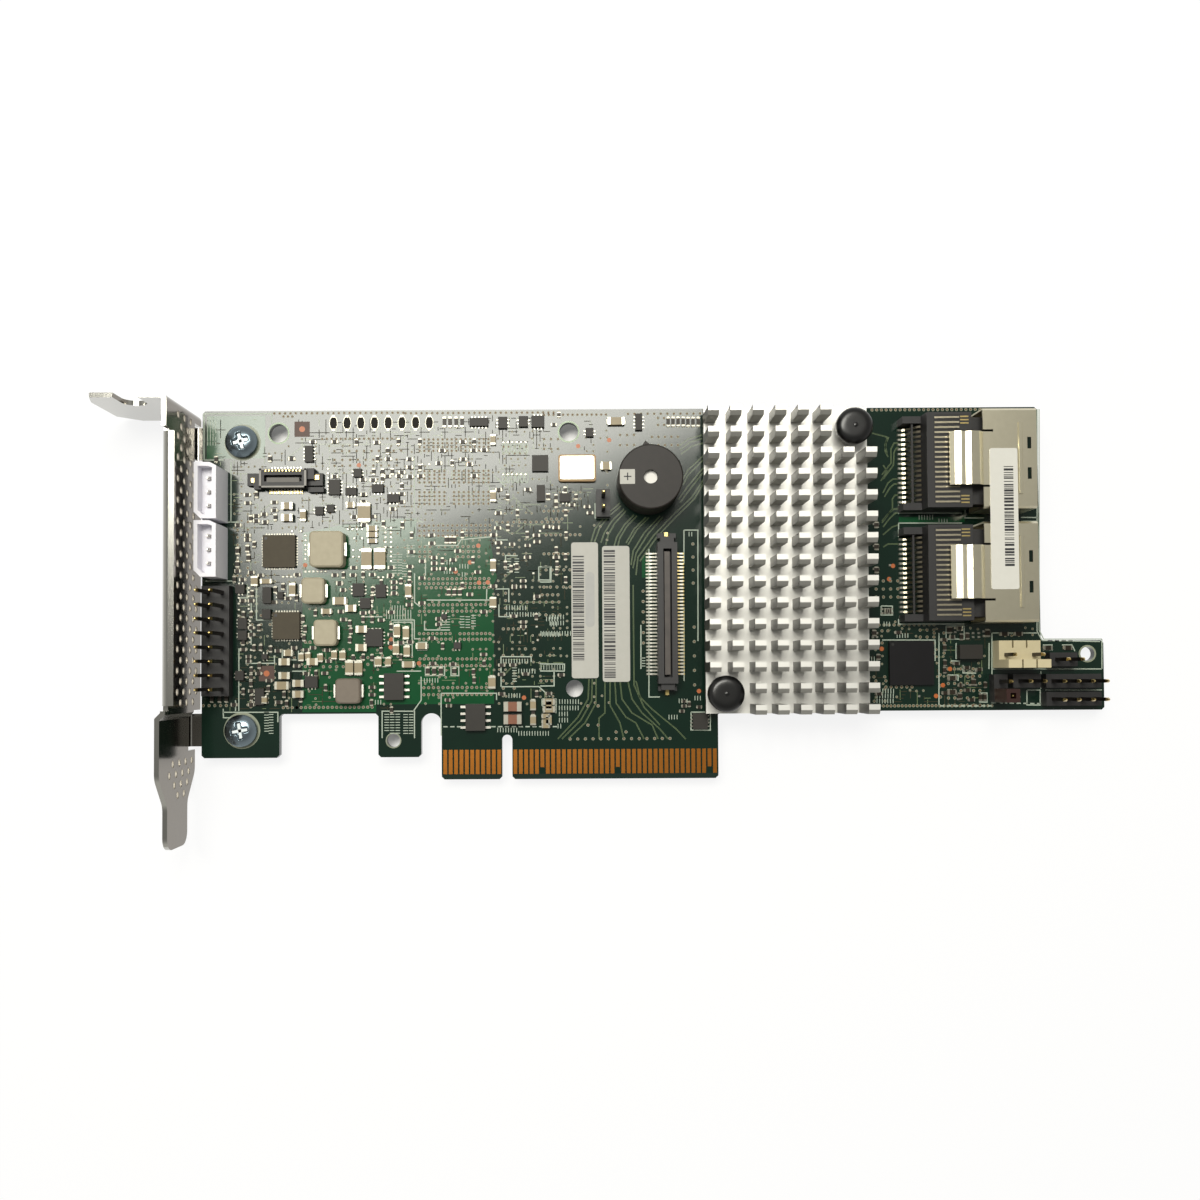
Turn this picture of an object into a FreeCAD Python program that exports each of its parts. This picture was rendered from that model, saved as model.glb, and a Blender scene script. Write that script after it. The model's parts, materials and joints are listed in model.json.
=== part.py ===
import FreeCAD, Part
import math
import os

# Low-profile storage controller card, in millimetres.
# Frame: +X runs along the board away from the bracket, +Y goes from the card edge up to the
# board's top edge, and +Z stands out of the component side.  The origin lies on the centre line
# of the key notch, on the tip of the card edge, at the middle of the board's thickness.

V = FreeCAD.Vector

# ---------------------------------------------------------------- board
BOARD_THICK = 1.57
BOARD_LEFT = -56.7
BOARD_LENGTH = 167.65
BOARD_HEIGHT = 68.9
BODY_RIGHT = 99.3
BODY_BOTTOM = 12.3
TAB_BOTTOM = 4.2
BRACKET_TAB_RIGHT = -42.25
SMALL_TAB_LEFT = -23.9
SMALL_TAB_RIGHT = -15.95
END_TAB_TOP = 25.2
BOARD_CORNER = 0.5
MOUNT_HOLE_RADIUS = 1.75
MOUNT_HOLE_Y = 64.7
MOUNT_HOLES = [(-42.5, MOUNT_HOLE_Y), (11.7, MOUNT_HOLE_Y)]
LOWER_HOLE = (12.55, 16.75)
LOWER_HOLE_RADIUS = 1.6
SMALL_TAB_HOLE = (-21.1, 7.3)
SMALL_TAB_HOLE_RADIUS = 1.25
END_TAB_HOLE = (107.95, 22.7)
END_TAB_HOLE_RADIUS = 1.3

# ---------------------------------------------------------------- card edge
EDGE_LEFT = -12.15
EDGE_RIGHT = 39.15
NOTCH_WIDTH = 1.9
NOTCH_DEPTH = 8.25
BEVEL_HEIGHT = 1.0
BEVEL_DEPTH = 0.38
CONTACT_PITCH = 1.0
CONTACT_WIDTH = 0.7
CONTACT_TOP = 5.5
CONTACT_THICK = 0.05
CONTACT_SHORTER = 1.2
FIRST_CONTACT = 1.5
CONTACT_COUNT_BEFORE_NOTCH = 11
CONTACT_COUNT_AFTER_NOTCH = 38
SHORT_CONTACTS_FRONT = (5, 19, 36)
SHORT_CONTACTS_BACK = (-11,)

# ---------------------------------------------------------------- bracket
SHEET = 0.86
PLATE_INNER = -58.34
PLATE_LOW = -3.42
PLATE_WIDTH = 18.42
FLANGE_TOP = 69.0
FLANGE_TIP = -73.0
FLANGE_CHAMFER = 3.6
FLANGE_NOTCH_WIDTH = 4.42
FLANGE_NOTCH_OUT = 6.35
FLANGE_NOTCH_BOTTOM = 8.8
BEND_RADIUS = 0.4
JOGGLE_START = 13.1
JOGGLE = 1.0
SHOULDER_TOP = 1.5
SHOULDER_BOTTOM = -3.6
TONGUE_WIDTH = 10.3
TONGUE_BOTTOM = -11.5
TONGUE_CORNER = 2.4
LIP_REACH = 2.3
LIP_BOTTOM = 14.3
LIP_TOP = 62.3
LIP_RELIEF = 0.9
UPPER_TAB = (60.0, 66.1)
LOWER_TAB = (6.3, 12.4)
TAB_RELIEF = 0.7
TAB_CORNER = 1.2
TAB_BEYOND_SCREW = 3.4
VENT_RADIUS = 0.75
VENT_SIDES = 4
VENT_ROW_PITCH = 1.92
VENT_PITCH = 3.3
VENT_TOP = 66.5
VENT_ROW_COUNT = 28
VENT_MIDDLE = 4.05
LOWER_VENT_TOP = 3.7
LOWER_VENT_COUNTS = (4, 4, 3, 2)

# ---------------------------------------------------------------- screws
SCREW_X = -49.2
SCREWS = {"bracket_screw_upper": 63.0, "bracket_screw_lower": 9.3}
SCREW_RADIUS = 1.45
SCREW_CLEARANCE = 0.2
SCREW_LENGTH = 3.2
SCREW_HEAD_RADIUS = 3.0
SCREW_HEAD_FLAT = 2.0
SCREW_HEAD_HEIGHT = 2.1
TAPPED_CLEARANCE = 0.03
RECESS_LENGTH = 3.2
RECESS_WIDTH = 0.7
RECESS_DEPTH = 1.3

# ---------------------------------------------------------------- controller and heatsink
PACKAGE_SIZE = 25.0
PACKAGE_HEIGHT = 1.7
PACKAGE_LID = (21.0, 21.0, 0.7)
THERMAL_PAD = 20.0
PAD_THICK = 0.3
SINK_CENTRE = (51.5, 40.15)
FIN_COLUMN_COUNT = 8
FIN_ROW_COUNT = 15
FIN_WIDTH = 2.0
FIN_PITCH_X = 3.99
FIN_DEPTH = 1.75
FIN_PITCH_Y = 3.805
SINK_REAR_MARGIN = 1.1
SINK_BASE_THICK = 1.7
FIN_HEIGHT = 7.1
FIN_RIDGE = 0.9
CLEARED_FIN_COUNT = 2
PIN_INSETS = {"upper": (3.2, 4.3), "lower": (3.2, 3.7)}
PUSH_PIN_SHAFT = 1.5
PUSH_PIN_CLEARANCE = 0.15
PUSH_PIN_HEAD_RADIUS = 3.15
PUSH_PIN_HEAD_HEIGHT = 2.4
PUSH_PIN_DOME = 1.4
PUSH_PIN_HEAD_LIFT = 2.6
PUSH_PIN_TAIL = 2.4
PUSH_PIN_BARB = 0.35
PUSH_PIN_SLIT = 0.6
TURNED_SIDES = 12

# ---------------------------------------------------------------- storage ports
PORT_MOUTH_X = 95.9
PORTS = {"upper": 57.85, "lower": 37.4}
PORT_CAGE_LEFT = 86.25
PORT_CAGE_WIDTH = 18.1
PORT_HEIGHT = 8.0
PORT_SHEET = 0.3
PORT_CORNER = 0.4
PORT_BLOCK_LEFT = 76.5
PORT_BLOCK_RIGHT = 84.6
PORT_BLOCK_WIDTH = 17.3
PORT_BLOCK_HEIGHT = 6.9
PORT_NOSE_WIDTH = 15.9
PORT_NOSE_LOW = 2.0
PORT_NOSE_HEIGHT = 3.4
PORT_NOSE_END = 90.5
PORT_SLOT_HEIGHT = 1.2
PORT_SLOT_WALL = 1.0
PORT_CHEEK_LEFT = 73.1
PORT_CHEEK_WIDTH = 1.3
PORT_CHEEK_HEIGHT = 3.4
PORT_COMB_X = 74.8
PORT_COMB = (0.35, 0.4)
PORT_COMB_HEIGHT = 2.6
PORT_COMB_BITE = 0.2
PORT_CONTACT_COUNT = 18
PORT_CONTACT_PITCH = 0.82
PORT_CONTACT_WIDTH = 0.3
PORT_CONTACT_THICK = 0.2
PORT_CONTACT_SHELF = 2.1
PORT_CONTACT_FOOT = 73.9
PORT_CONTACT_GAP = 0.05
PORT_TONGUE_LEFT = 80.2
PORT_TONGUE_WIDTH = 9.6
PORT_TONGUE_SLOT = 0.4
PORT_TONGUE_SLOT_END = 88.1
PORT_TONGUE_RISE = 0.9
# Waves of the tongue, as shares of its length and of its rise.
PORT_TONGUE_WAVES = [(0.0, 0.15), (0.12, 0.7), (0.3, 1.0), (0.45, 0.55), (0.6, 1.0), (0.85, 0.9),
                     (1.0, 0.0)]
PORT_RIDGE = (92.4, 93.4)
PORT_RIDGE_LENGTH = 12.9
PORT_RIDGE_RISE = 0.3
PORT_RIDGE_SLOPE = 0.25
PORT_WINDOW = (94.2, 94.9)
PORT_WINDOW_LENGTH = 2.1
PORT_WINDOW_SPACING = 5.5
PORT_LABEL = (87.35, 92.35)
PORT_LABEL_LENGTH = 25.4
PORT_LABEL_SHIFT = -0.7

# ---------------------------------------------------------------- pin headers, 2.54 mm grid
GRID = 2.54
PIN_SIDE = 0.64
PIN_CLEARANCE = 0.12
TAIL = 1.2
HEADER_HEIGHT = 2.5
DEBUG_HEADER = (-53.45, 25.9)
DEBUG_ROW_COUNT = 8
DEBUG_PIN_TIP = 9.9
LED_PIN_TIP = 8.2
WHITE_SIZE = (4.0, 10.2, 7.0)
WHITE_WALL = 0.7
WHITE_FLOOR = 1.6
WHITE_PITCH = 2.5
WHITE_PIN_TIP = 5.6
WHITE_CORNER = 1.2
LED_UPPER_START = (100.45, 17.7)
LED_LOWER_START = (100.45, 14.4)
LED_ROW_COUNT = 4
LED_PAIR_START = (94.4, 17.75)
OPTION_START = (90.85, 15.15)
CORNER_START = (101.2, 21.65)
LOCK_START = (91.6, 22.55)
MODE_START = (18.0, 49.7)
LOCK_BASE = (5.0, 3.2)
LOCK_WALL = (1.5, 7.8)
LOCK_BELOW_PINS = 2.4
LOCK_GROOVE = 0.3
LOCK_GROOVE_DEPTH = 1.7
LOCK_WALL_GROOVE_DEPTH = 3.3
CAP_SIZE = (2.45, 2.45, 5.9)
CAP_HOLE = 1.0
WHITE_HEADERS = {"fan_header_upper": (-53.95, 53.0), "fan_header_lower": (-53.95, 42.45)}

# ---------------------------------------------------------------- mezzanine and board sockets
MEZZ_CENTRE = (29.7, 30.55)
MEZZ_SIZE = (3.6, 25.9, 3.7)
MEZZ_POST = (2.5, 1.15, 3.0)
MEZZ_CONTACT_COUNT = 36
MEZZ_PITCH = 0.64
MEZZ_FOOT = (1.3, 0.3, 0.25)
MEZZ_SLOT = (1.5, 23.6, 2.2)
MINI_CENTRE = (-41.0, 55.85)
MINI_SIZE = (8.6, 3.3, 2.6)
MINI_WING = (14.0, 2.3, 1.1)
MINI_CONTACT_COUNT = 10
MINI_PITCH = 0.6
MINI_FOOT = (0.8, 0.25, 0.2)
MINI_SLOT = (7.0, 1.2, 1.4)

# ---------------------------------------------------------------- sounder and timing
BUZZER_CENTRE = (26.45, 54.8)
BUZZER_RADIUS = 5.85
BUZZER_HEIGHT = 8.5
BUZZER_HOLE_RADIUS = 1.25
BUZZER_HOLE_DEPTH = 1.6
BUZZER_STAND = 0.3
BUZZER_FOOT = 1.2
BUZZER_FOOT_OUT = 4.4
BUZZER_MARK = 0.7
BUZZER_MARK_TURN = 98
BUZZER_PIN_SPACING = 6.5
OSC_CENTRE = (13.25, 57.75)
OSC_SIZE = (7.0, 5.0)
OSC_BASE_HEIGHT = 1.0
OSC_LID_HEIGHT = 0.35
OSC_LID_INSET = 0.35

MEMORY_SIZE = (9.0, 11.0, 1.2)
MEMORY_CENTRES = [(-13.9, 56.0), (-13.9, 40.5), (-13.9, 24.0), (-1.5, 53.0), (-1.5, 38.0)]

LABEL_THICK = 0.1
NARROW_LABEL = ((14.55, 31.3), (5.0, 25.3))
WIDE_LABEL = ((20.35, 30.6), (5.1, 25.3))

TOP = BOARD_THICK / 2
BACK = -BOARD_THICK / 2
BOARD_RIGHT = BOARD_LEFT + BOARD_LENGTH
PLATE_OUTER = PLATE_INNER - SHEET
PLATE_HIGH = PLATE_LOW + PLATE_WIDTH
LOWER_OUTER = PLATE_OUTER - JOGGLE
TAB_TOP = BACK
TAB_UNDER = BACK - SHEET
TAB_END = SCREW_X + TAB_BEYOND_SCREW
SINK_LENGTH = (FIN_COLUMN_COUNT - 1) * FIN_PITCH_X + FIN_WIDTH
SINK_WIDTH = (FIN_ROW_COUNT - 1) * FIN_PITCH_Y + FIN_DEPTH + SINK_REAR_MARGIN
SINK_LEFT = SINK_CENTRE[0] - SINK_LENGTH / 2
SINK_BOTTOM = SINK_CENTRE[1] - SINK_WIDTH / 2
SINK_UNDER = TOP + PACKAGE_HEIGHT + PAD_THICK
SINK_BASE_TOP = SINK_UNDER + SINK_BASE_THICK
PUSH_PINS = {
    "upper": (SINK_LEFT + SINK_LENGTH - PIN_INSETS["upper"][0],
              SINK_BOTTOM + SINK_WIDTH - PIN_INSETS["upper"][1]),
    "lower": (SINK_LEFT + PIN_INSETS["lower"][0], SINK_BOTTOM + PIN_INSETS["lower"][1]),
}
HEAD_UNDER = SINK_BASE_TOP + PUSH_PIN_HEAD_LIFT


# ---------------------------------------------------------------- helpers
def flat(level):
    """Place sketch points (u, v) at (x, y) on the plane z = level."""
    return lambda u, v: V(u, v, level)


def facing_x(level):
    """Place sketch points (u, v) at (y, z) on the plane x = level."""
    return lambda u, v: V(level, u, v)


def facing_y(level):
    """Place sketch points (u, v) at (x, z) on the plane y = level."""
    return lambda u, v: V(u, level, v)


def outline(corners, place):
    """Face inside a closed run of corners (u, v, radius), each rounded by a tangent arc."""
    edges = []
    starts = []
    ends = []
    middles = []
    count = len(corners)
    for index in range(count):
        u, v, radius = corners[index]
        corner = V(u, v, 0)
        before = V(corners[index - 1][0], corners[index - 1][1], 0) - corner
        after = V(corners[(index + 1) % count][0], corners[(index + 1) % count][1], 0) - corner
        before.normalize()
        after.normalize()
        if radius == 0:
            starts.append(corner)
            ends.append(corner)
            middles.append(None)
            continue
        half = before.getAngle(after) / 2
        reach = radius / math.tan(half)
        bisector = before + after
        bisector.normalize()
        starts.append(corner + before * reach)
        ends.append(corner + after * reach)
        middles.append(corner + bisector * (radius / math.sin(half) - radius))
    for index in range(count):
        if middles[index] is not None:
            points = [place(p.x, p.y) for p in (starts[index], middles[index], ends[index])]
            edges.append(Part.Arc(*points).toShape())
        leave = ends[index]
        reach_to = starts[(index + 1) % count]
        if leave.distanceToPoint(reach_to) > 1e-6:
            edges.append(Part.LineSegment(place(leave.x, leave.y), place(reach_to.x, reach_to.y)).toShape())
    return Part.Face(Part.Wire(edges))


def box(low, high):
    return Part.makeBox(high[0] - low[0], high[1] - low[1], high[2] - low[2], V(*low))


def block(centre, size, low):
    """Box of the given size (x, y, z) centred on (x, y), standing on z = low."""
    x, y = centre
    corner = V(x - size[0] / 2, y - size[1] / 2, low)
    return Part.makeBox(size[0], size[1], size[2], corner)


def post(centre, radius, low, high):
    return Part.makeCylinder(radius, high - low, V(centre[0], centre[1], low))


def rectangle(left, low, right, high, radius):
    return [(left, low, radius), (right, low, radius), (right, high, radius), (left, high, radius)]


def group(shapes):
    return Part.makeCompound(shapes)


def clipped(left, low, right, high, cut):
    """Corners of a rectangle whose four corners are cut off straight."""
    return [(left + cut, low, 0), (right - cut, low, 0), (right, low + cut, 0), (right, high - cut, 0),
            (right - cut, high, 0), (left + cut, high, 0), (left, high - cut, 0), (left, low + cut, 0)]


def broken(corners, cut):
    """The same run of corners with every sharp one replaced by two points, cut off straight."""
    points = []
    count = len(corners)
    for index in range(count):
        u, v, radius = corners[index]
        here = V(u, v, 0)
        if radius:
            points.append((u, v, radius))
            continue
        for other in (corners[index - 1], corners[(index + 1) % count]):
            along = V(other[0], other[1], 0) - here
            along.normalize()
            spot = here + along * cut
            points.append((spot.x, spot.y, 0))
    return points


def polygon_of(centre, radius, sides):
    """Corners of a regular polygon with the same area as a circle of the given radius."""
    reach = radius * math.sqrt(2 * math.pi / (sides * math.sin(2 * math.pi / sides)))
    turns = [2 * math.pi * index / sides for index in range(sides)]
    return [(centre[0] + reach * math.cos(t), centre[1] + reach * math.sin(t), 0) for t in turns]


def few_sided(centre, profile, sides=TURNED_SIDES):
    """Turned shape with flat sides; profile is a run of (radius, z) from its lower end to its upper."""
    x, y = centre
    turns = [2 * math.pi * index / sides for index in range(sides)]
    rings = [[V(x + radius * math.cos(t), y + radius * math.sin(t), z) for t in turns] for radius, z in profile]
    faces = [Part.Face(Part.makePolygon(ring + ring[:1])) for ring in (rings[0], rings[-1])]
    for lower, upper in zip(rings, rings[1:]):
        for index in range(sides):
            after = (index + 1) % sides
            loop = [lower[index], lower[after], upper[after], upper[index], lower[index]]
            faces.append(Part.Face(Part.makePolygon(loop)))
    solid = Part.Solid(Part.Shell(faces))
    return solid if solid.Volume > 0 else solid.reversed()


def straight(radius, low, high):
    return [(radius, low), (radius, high)]


def square_pin(centre, low, high):
    return block(centre, (PIN_SIDE, PIN_SIDE, high - low), low)


# ---------------------------------------------------------------- places of the pins
def debug_pins():
    x, y = DEBUG_HEADER
    first = y - (DEBUG_ROW_COUNT - 1) * GRID / 2
    return [(x + side * GRID / 2, first + row * GRID) for side in (-1, 1) for row in range(DEBUG_ROW_COUNT)]


def white_pins(centre):
    return [(centre[0], centre[1] + step * WHITE_PITCH) for step in (-1, 0, 1)]


def row_of_pins(first, count, step):
    return [(first[0] + index * step[0], first[1] + index * step[1]) for index in range(count)]


LED_UPPER_ROW = row_of_pins(LED_UPPER_START, LED_ROW_COUNT, (GRID, 0))
LED_LOWER_ROW = row_of_pins(LED_LOWER_START, LED_ROW_COUNT, (GRID, 0))
LED_PAIR = row_of_pins(LED_PAIR_START, 2, (GRID, 0))
OPTION_PAIR = row_of_pins(OPTION_START, 2, (0, GRID))
CORNER_PAIR = row_of_pins(CORNER_START, 2, (GRID, 0))
LOCK_PINS = row_of_pins(LOCK_START, 2, (2 * GRID, 0))
MODE_PAIR = row_of_pins(MODE_START, 2, (0, GRID))
BUZZER_PINS = row_of_pins((BUZZER_CENTRE[0] - BUZZER_PIN_SPACING / 2, BUZZER_CENTRE[1]), 2,
                          (BUZZER_PIN_SPACING, 0))


def through_pins():
    """Every place where a square pin goes through the board."""
    places = debug_pins()
    for centre in WHITE_HEADERS.values():
        places += white_pins(centre)
    for row in (LED_UPPER_ROW, LED_LOWER_ROW, LED_PAIR, OPTION_PAIR, CORNER_PAIR, LOCK_PINS,
                MODE_PAIR, BUZZER_PINS):
        places += row
    return places


# ---------------------------------------------------------------- board and its card edge
def circuit_board():
    half_notch = NOTCH_WIDTH / 2
    gap = EDGE_LEFT - SMALL_TAB_RIGHT
    corners = [
        (BOARD_LEFT, BOARD_HEIGHT, 0),
        (BODY_RIGHT, BOARD_HEIGHT, 0),
        (BODY_RIGHT, END_TAB_TOP, 0),
        (BOARD_RIGHT, END_TAB_TOP, 0),
        (BOARD_RIGHT, BODY_BOTTOM, 0),
        (EDGE_RIGHT, BODY_BOTTOM, 0),
        (EDGE_RIGHT, 0, 0),
        (half_notch, 0, 0),
        (half_notch, NOTCH_DEPTH, half_notch * 0.999),
        (-half_notch, NOTCH_DEPTH, half_notch * 0.999),
        (-half_notch, 0, 0),
        (EDGE_LEFT, 0, 0),
        (EDGE_LEFT, BODY_BOTTOM, gap * 0.499),
        (SMALL_TAB_RIGHT, BODY_BOTTOM, gap * 0.499),
        (SMALL_TAB_RIGHT, TAB_BOTTOM, 0),
        (SMALL_TAB_LEFT, TAB_BOTTOM, 0),
        (SMALL_TAB_LEFT, BODY_BOTTOM, 0),
        (BRACKET_TAB_RIGHT, BODY_BOTTOM, 0),
        (BRACKET_TAB_RIGHT, TAB_BOTTOM, 0),
        (BOARD_LEFT, TAB_BOTTOM, 0),
    ]
    board = outline(broken(corners, BOARD_CORNER), flat(BACK)).extrude(V(0, 0, BOARD_THICK))
    cuts = []
    for place in MOUNT_HOLES:
        cuts.append(post(place, MOUNT_HOLE_RADIUS, BACK - 1, TOP + 1))
    cuts.append(post(LOWER_HOLE, LOWER_HOLE_RADIUS, BACK - 1, TOP + 1))
    cuts.append(post(SMALL_TAB_HOLE, SMALL_TAB_HOLE_RADIUS, BACK - 1, TOP + 1))
    cuts.append(post(END_TAB_HOLE, END_TAB_HOLE_RADIUS, BACK - 1, TOP + 1))
    for y in SCREWS.values():
        cuts.append(few_sided((SCREW_X, y), straight(SCREW_RADIUS + SCREW_CLEARANCE, BACK - 1, TOP + 1)))
    for place in PUSH_PINS.values():
        cuts.append(few_sided(place, straight(PUSH_PIN_SHAFT + PUSH_PIN_CLEARANCE, BACK - 1, TOP + 1)))
    for place in through_pins():
        side = PIN_SIDE + 2 * PIN_CLEARANCE
        cuts.append(block(place, (side, side, BOARD_THICK + 2), BACK - 1))
    cuts += edge_bevels()
    return board.cut(group(cuts))


def edge_bevels():
    """Two wedges that thin the leading edge of the card on both faces."""
    wedges = []
    for side in (1, -1):
        face = side * TOP
        beyond = side * (TOP + 1)
        points = [(-1, beyond), (-1, face - side * BEVEL_DEPTH * (1 + 1 / BEVEL_HEIGHT)),
                  (BEVEL_HEIGHT, face), (BEVEL_HEIGHT, beyond)]
        corners = [(y, z, 0) for y, z in points]
        wedges.append(outline(corners, facing_x(EDGE_LEFT - 1)).extrude(V(EDGE_RIGHT - EDGE_LEFT + 2, 0, 0)))
    return wedges


def edge_contacts():
    """Plated pads on both faces, some of them shorter so that they make contact last."""
    pads = []
    places = [(-step - 1, -FIRST_CONTACT - step * CONTACT_PITCH) for step in range(CONTACT_COUNT_BEFORE_NOTCH)]
    places += [(step, FIRST_CONTACT + step * CONTACT_PITCH) for step in range(CONTACT_COUNT_AFTER_NOTCH)]
    for base, shorter in ((TOP, SHORT_CONTACTS_FRONT), (BACK - CONTACT_THICK, SHORT_CONTACTS_BACK)):
        for number, x in places:
            foot = BEVEL_HEIGHT + (CONTACT_SHORTER if number in shorter else 0)
            pads.append(box((x - CONTACT_WIDTH / 2, foot, base),
                            (x + CONTACT_WIDTH / 2, CONTACT_TOP, base + CONTACT_THICK)))
    return group(pads)


# ---------------------------------------------------------------- bracket
def bracket_profile():
    """Side view of the folded strip: outward flange, plate, joggle and tongue."""
    inner = BEND_RADIUS
    outer = BEND_RADIUS + SHEET
    lean = SHEET * math.tan(math.radians(22.5))
    return [
        (FLANGE_TIP, FLANGE_TOP - SHEET, 0),
        (PLATE_OUTER, FLANGE_TOP - SHEET, inner),
        (PLATE_OUTER, JOGGLE_START, 0),
        (LOWER_OUTER, JOGGLE_START - JOGGLE, 0),
        (LOWER_OUTER, TONGUE_BOTTOM, 0),
        (LOWER_OUTER + SHEET, TONGUE_BOTTOM, 0),
        (LOWER_OUTER + SHEET, JOGGLE_START - JOGGLE - lean, 0),
        (PLATE_INNER, JOGGLE_START - lean, 0),
        (PLATE_INNER, FLANGE_TOP, outer),
        (FLANGE_TIP, FLANGE_TOP, 0),
    ]


def plate_outline():
    """Front view of the plate (y, z): full width above, shoulders, then the narrow tongue."""
    middle = (PLATE_LOW + PLATE_HIGH) / 2
    low = middle - TONGUE_WIDTH / 2
    high = middle + TONGUE_WIDTH / 2
    above = FLANGE_TOP + 1
    return [
        (above, PLATE_LOW, 0),
        (SHOULDER_TOP, PLATE_LOW, 3),
        (SHOULDER_BOTTOM, low, 3),
        (TONGUE_BOTTOM, low, TONGUE_CORNER),
        (TONGUE_BOTTOM, high, TONGUE_CORNER),
        (SHOULDER_BOTTOM, high, 3),
        (SHOULDER_TOP, PLATE_HIGH, 3),
        (above, PLATE_HIGH, 0),
    ]


def flange_outline():
    """Top view of the flange (x, z) with broken corners and the open screw notch."""
    notch = PLATE_OUTER - FLANGE_NOTCH_OUT
    half = FLANGE_NOTCH_WIDTH / 2
    return [
        (BOARD_LEFT + 20, PLATE_LOW, 0),
        (BOARD_LEFT + 20, PLATE_HIGH, 0),
        (notch + half, PLATE_HIGH, 0),
        (notch + half, FLANGE_NOTCH_BOTTOM, half * 0.999),
        (notch - half, FLANGE_NOTCH_BOTTOM, half * 0.999),
        (notch - half, PLATE_HIGH, 0),
        (FLANGE_TIP + FLANGE_CHAMFER / 3, PLATE_HIGH, 0),
        (FLANGE_TIP, PLATE_HIGH - FLANGE_CHAMFER, 0),
        (FLANGE_TIP, PLATE_LOW + FLANGE_CHAMFER, 0),
        (FLANGE_TIP + FLANGE_CHAMFER, PLATE_LOW, 0),
    ]


def vent_places():
    """Centres (y, z) of the staggered perforations."""
    places = []
    for row in range(VENT_ROW_COUNT):
        y = VENT_TOP - row * VENT_ROW_PITCH
        count = 3 if row % 2 else 4
        for index in range(count):
            z = VENT_MIDDLE + (index - (count - 1) / 2) * VENT_PITCH
            beside_tab = UPPER_TAB[0] - 2 < y < UPPER_TAB[1] + 2
            if beside_tab and z < BEND_RADIUS + VENT_RADIUS:
                continue
            places.append((y, z))
    for row, count in enumerate(LOWER_VENT_COUNTS):
        y = LOWER_VENT_TOP - row * VENT_ROW_PITCH
        shift = 0.25 * VENT_PITCH * (1 if row % 2 else -1) * (1 if count == 4 else 0)
        for index in range(count):
            z = VENT_MIDDLE + shift + (index - (count - 1) / 2) * VENT_PITCH
            places.append((y, z))
    return places


def turned_tab(span, outer):
    """Ear folded off the plate's low side, flat under the board, from y = span[0] to span[1]."""
    corners = [
        (outer, TAB_UNDER + SHEET + 3, 0),
        (outer, TAB_UNDER, BEND_RADIUS + SHEET),
        (TAB_END, TAB_UNDER, 0),
        (TAB_END, TAB_TOP, 0),
        (outer + SHEET, TAB_TOP, BEND_RADIUS),
        (outer + SHEET, TAB_UNDER + SHEET + 3, 0),
    ]
    strip = outline(corners, facing_y(span[0])).extrude(V(0, span[1] - span[0], 0))
    ends = [(outer - 1, span[0], 0), (TAB_END - TAB_CORNER, span[0], 0), (TAB_END, span[0] + TAB_CORNER, 0),
            (TAB_END, span[1] - TAB_CORNER, 0), (TAB_END - TAB_CORNER, span[1], 0), (outer - 1, span[1], 0)]
    rounded = outline(ends, flat(TAB_UNDER - 1)).extrude(V(0, 0, PLATE_WIDTH))
    return strip.common(rounded)


def stiffening_lip():
    """Narrow lip folded inward along the plate's high side."""
    corners = [
        (PLATE_OUTER, PLATE_HIGH - 3, 0),
        (PLATE_INNER, PLATE_HIGH - 3, 0),
        (PLATE_INNER, PLATE_HIGH - SHEET, BEND_RADIUS),
        (PLATE_OUTER + LIP_REACH, PLATE_HIGH - SHEET, 0),
        (PLATE_OUTER + LIP_REACH, PLATE_HIGH, 0),
        (PLATE_OUTER, PLATE_HIGH, BEND_RADIUS + SHEET),
    ]
    return outline(corners, facing_y(LIP_BOTTOM)).extrude(V(0, LIP_TOP - LIP_BOTTOM, 0))


def mounting_bracket():
    strip = outline(bracket_profile(), flat(PLATE_LOW)).extrude(V(0, 0, PLATE_WIDTH))
    plate = outline(plate_outline(), facing_x(FLANGE_TIP - 1)).extrude(V(40, 0, 0))
    flange = outline(flange_outline(), facing_y(TONGUE_BOTTOM - 1)).extrude(V(0, FLANGE_TOP + 40, 0))
    sheet = strip.common(plate).common(flange)
    cuts = []
    low_side = TAB_UNDER + SHEET + 1
    for span, outer in ((UPPER_TAB, PLATE_OUTER), (LOWER_TAB, LOWER_OUTER)):
        cuts.append(box((outer - 1, span[0] - TAB_RELIEF, PLATE_LOW - 1),
                        (outer + SHEET + 2, span[1] + TAB_RELIEF, low_side)))
    high_side = PLATE_HIGH - SHEET - BEND_RADIUS - 0.2
    cuts.append(box((PLATE_OUTER - 1, LIP_BOTTOM - LIP_RELIEF, high_side),
                    (PLATE_INNER + 1, LIP_TOP + LIP_RELIEF, PLATE_HIGH + 1)))
    for y, z in vent_places():
        vent = outline(polygon_of((y, z), VENT_RADIUS, VENT_SIDES), facing_x(PLATE_OUTER - 3))
        cuts.append(vent.extrude(V(6, 0, 0)))
    sheet = sheet.cut(group(cuts))
    sheet = sheet.fuse([turned_tab(UPPER_TAB, PLATE_OUTER), turned_tab(LOWER_TAB, LOWER_OUTER),
                        stiffening_lip()])
    holes = [few_sided((SCREW_X, y), straight(SCREW_RADIUS + TAPPED_CLEARANCE, TAB_UNDER - 1, TAB_TOP + 1))
             for y in SCREWS.values()]
    return sheet.cut(group(holes)).removeSplitter()


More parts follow.
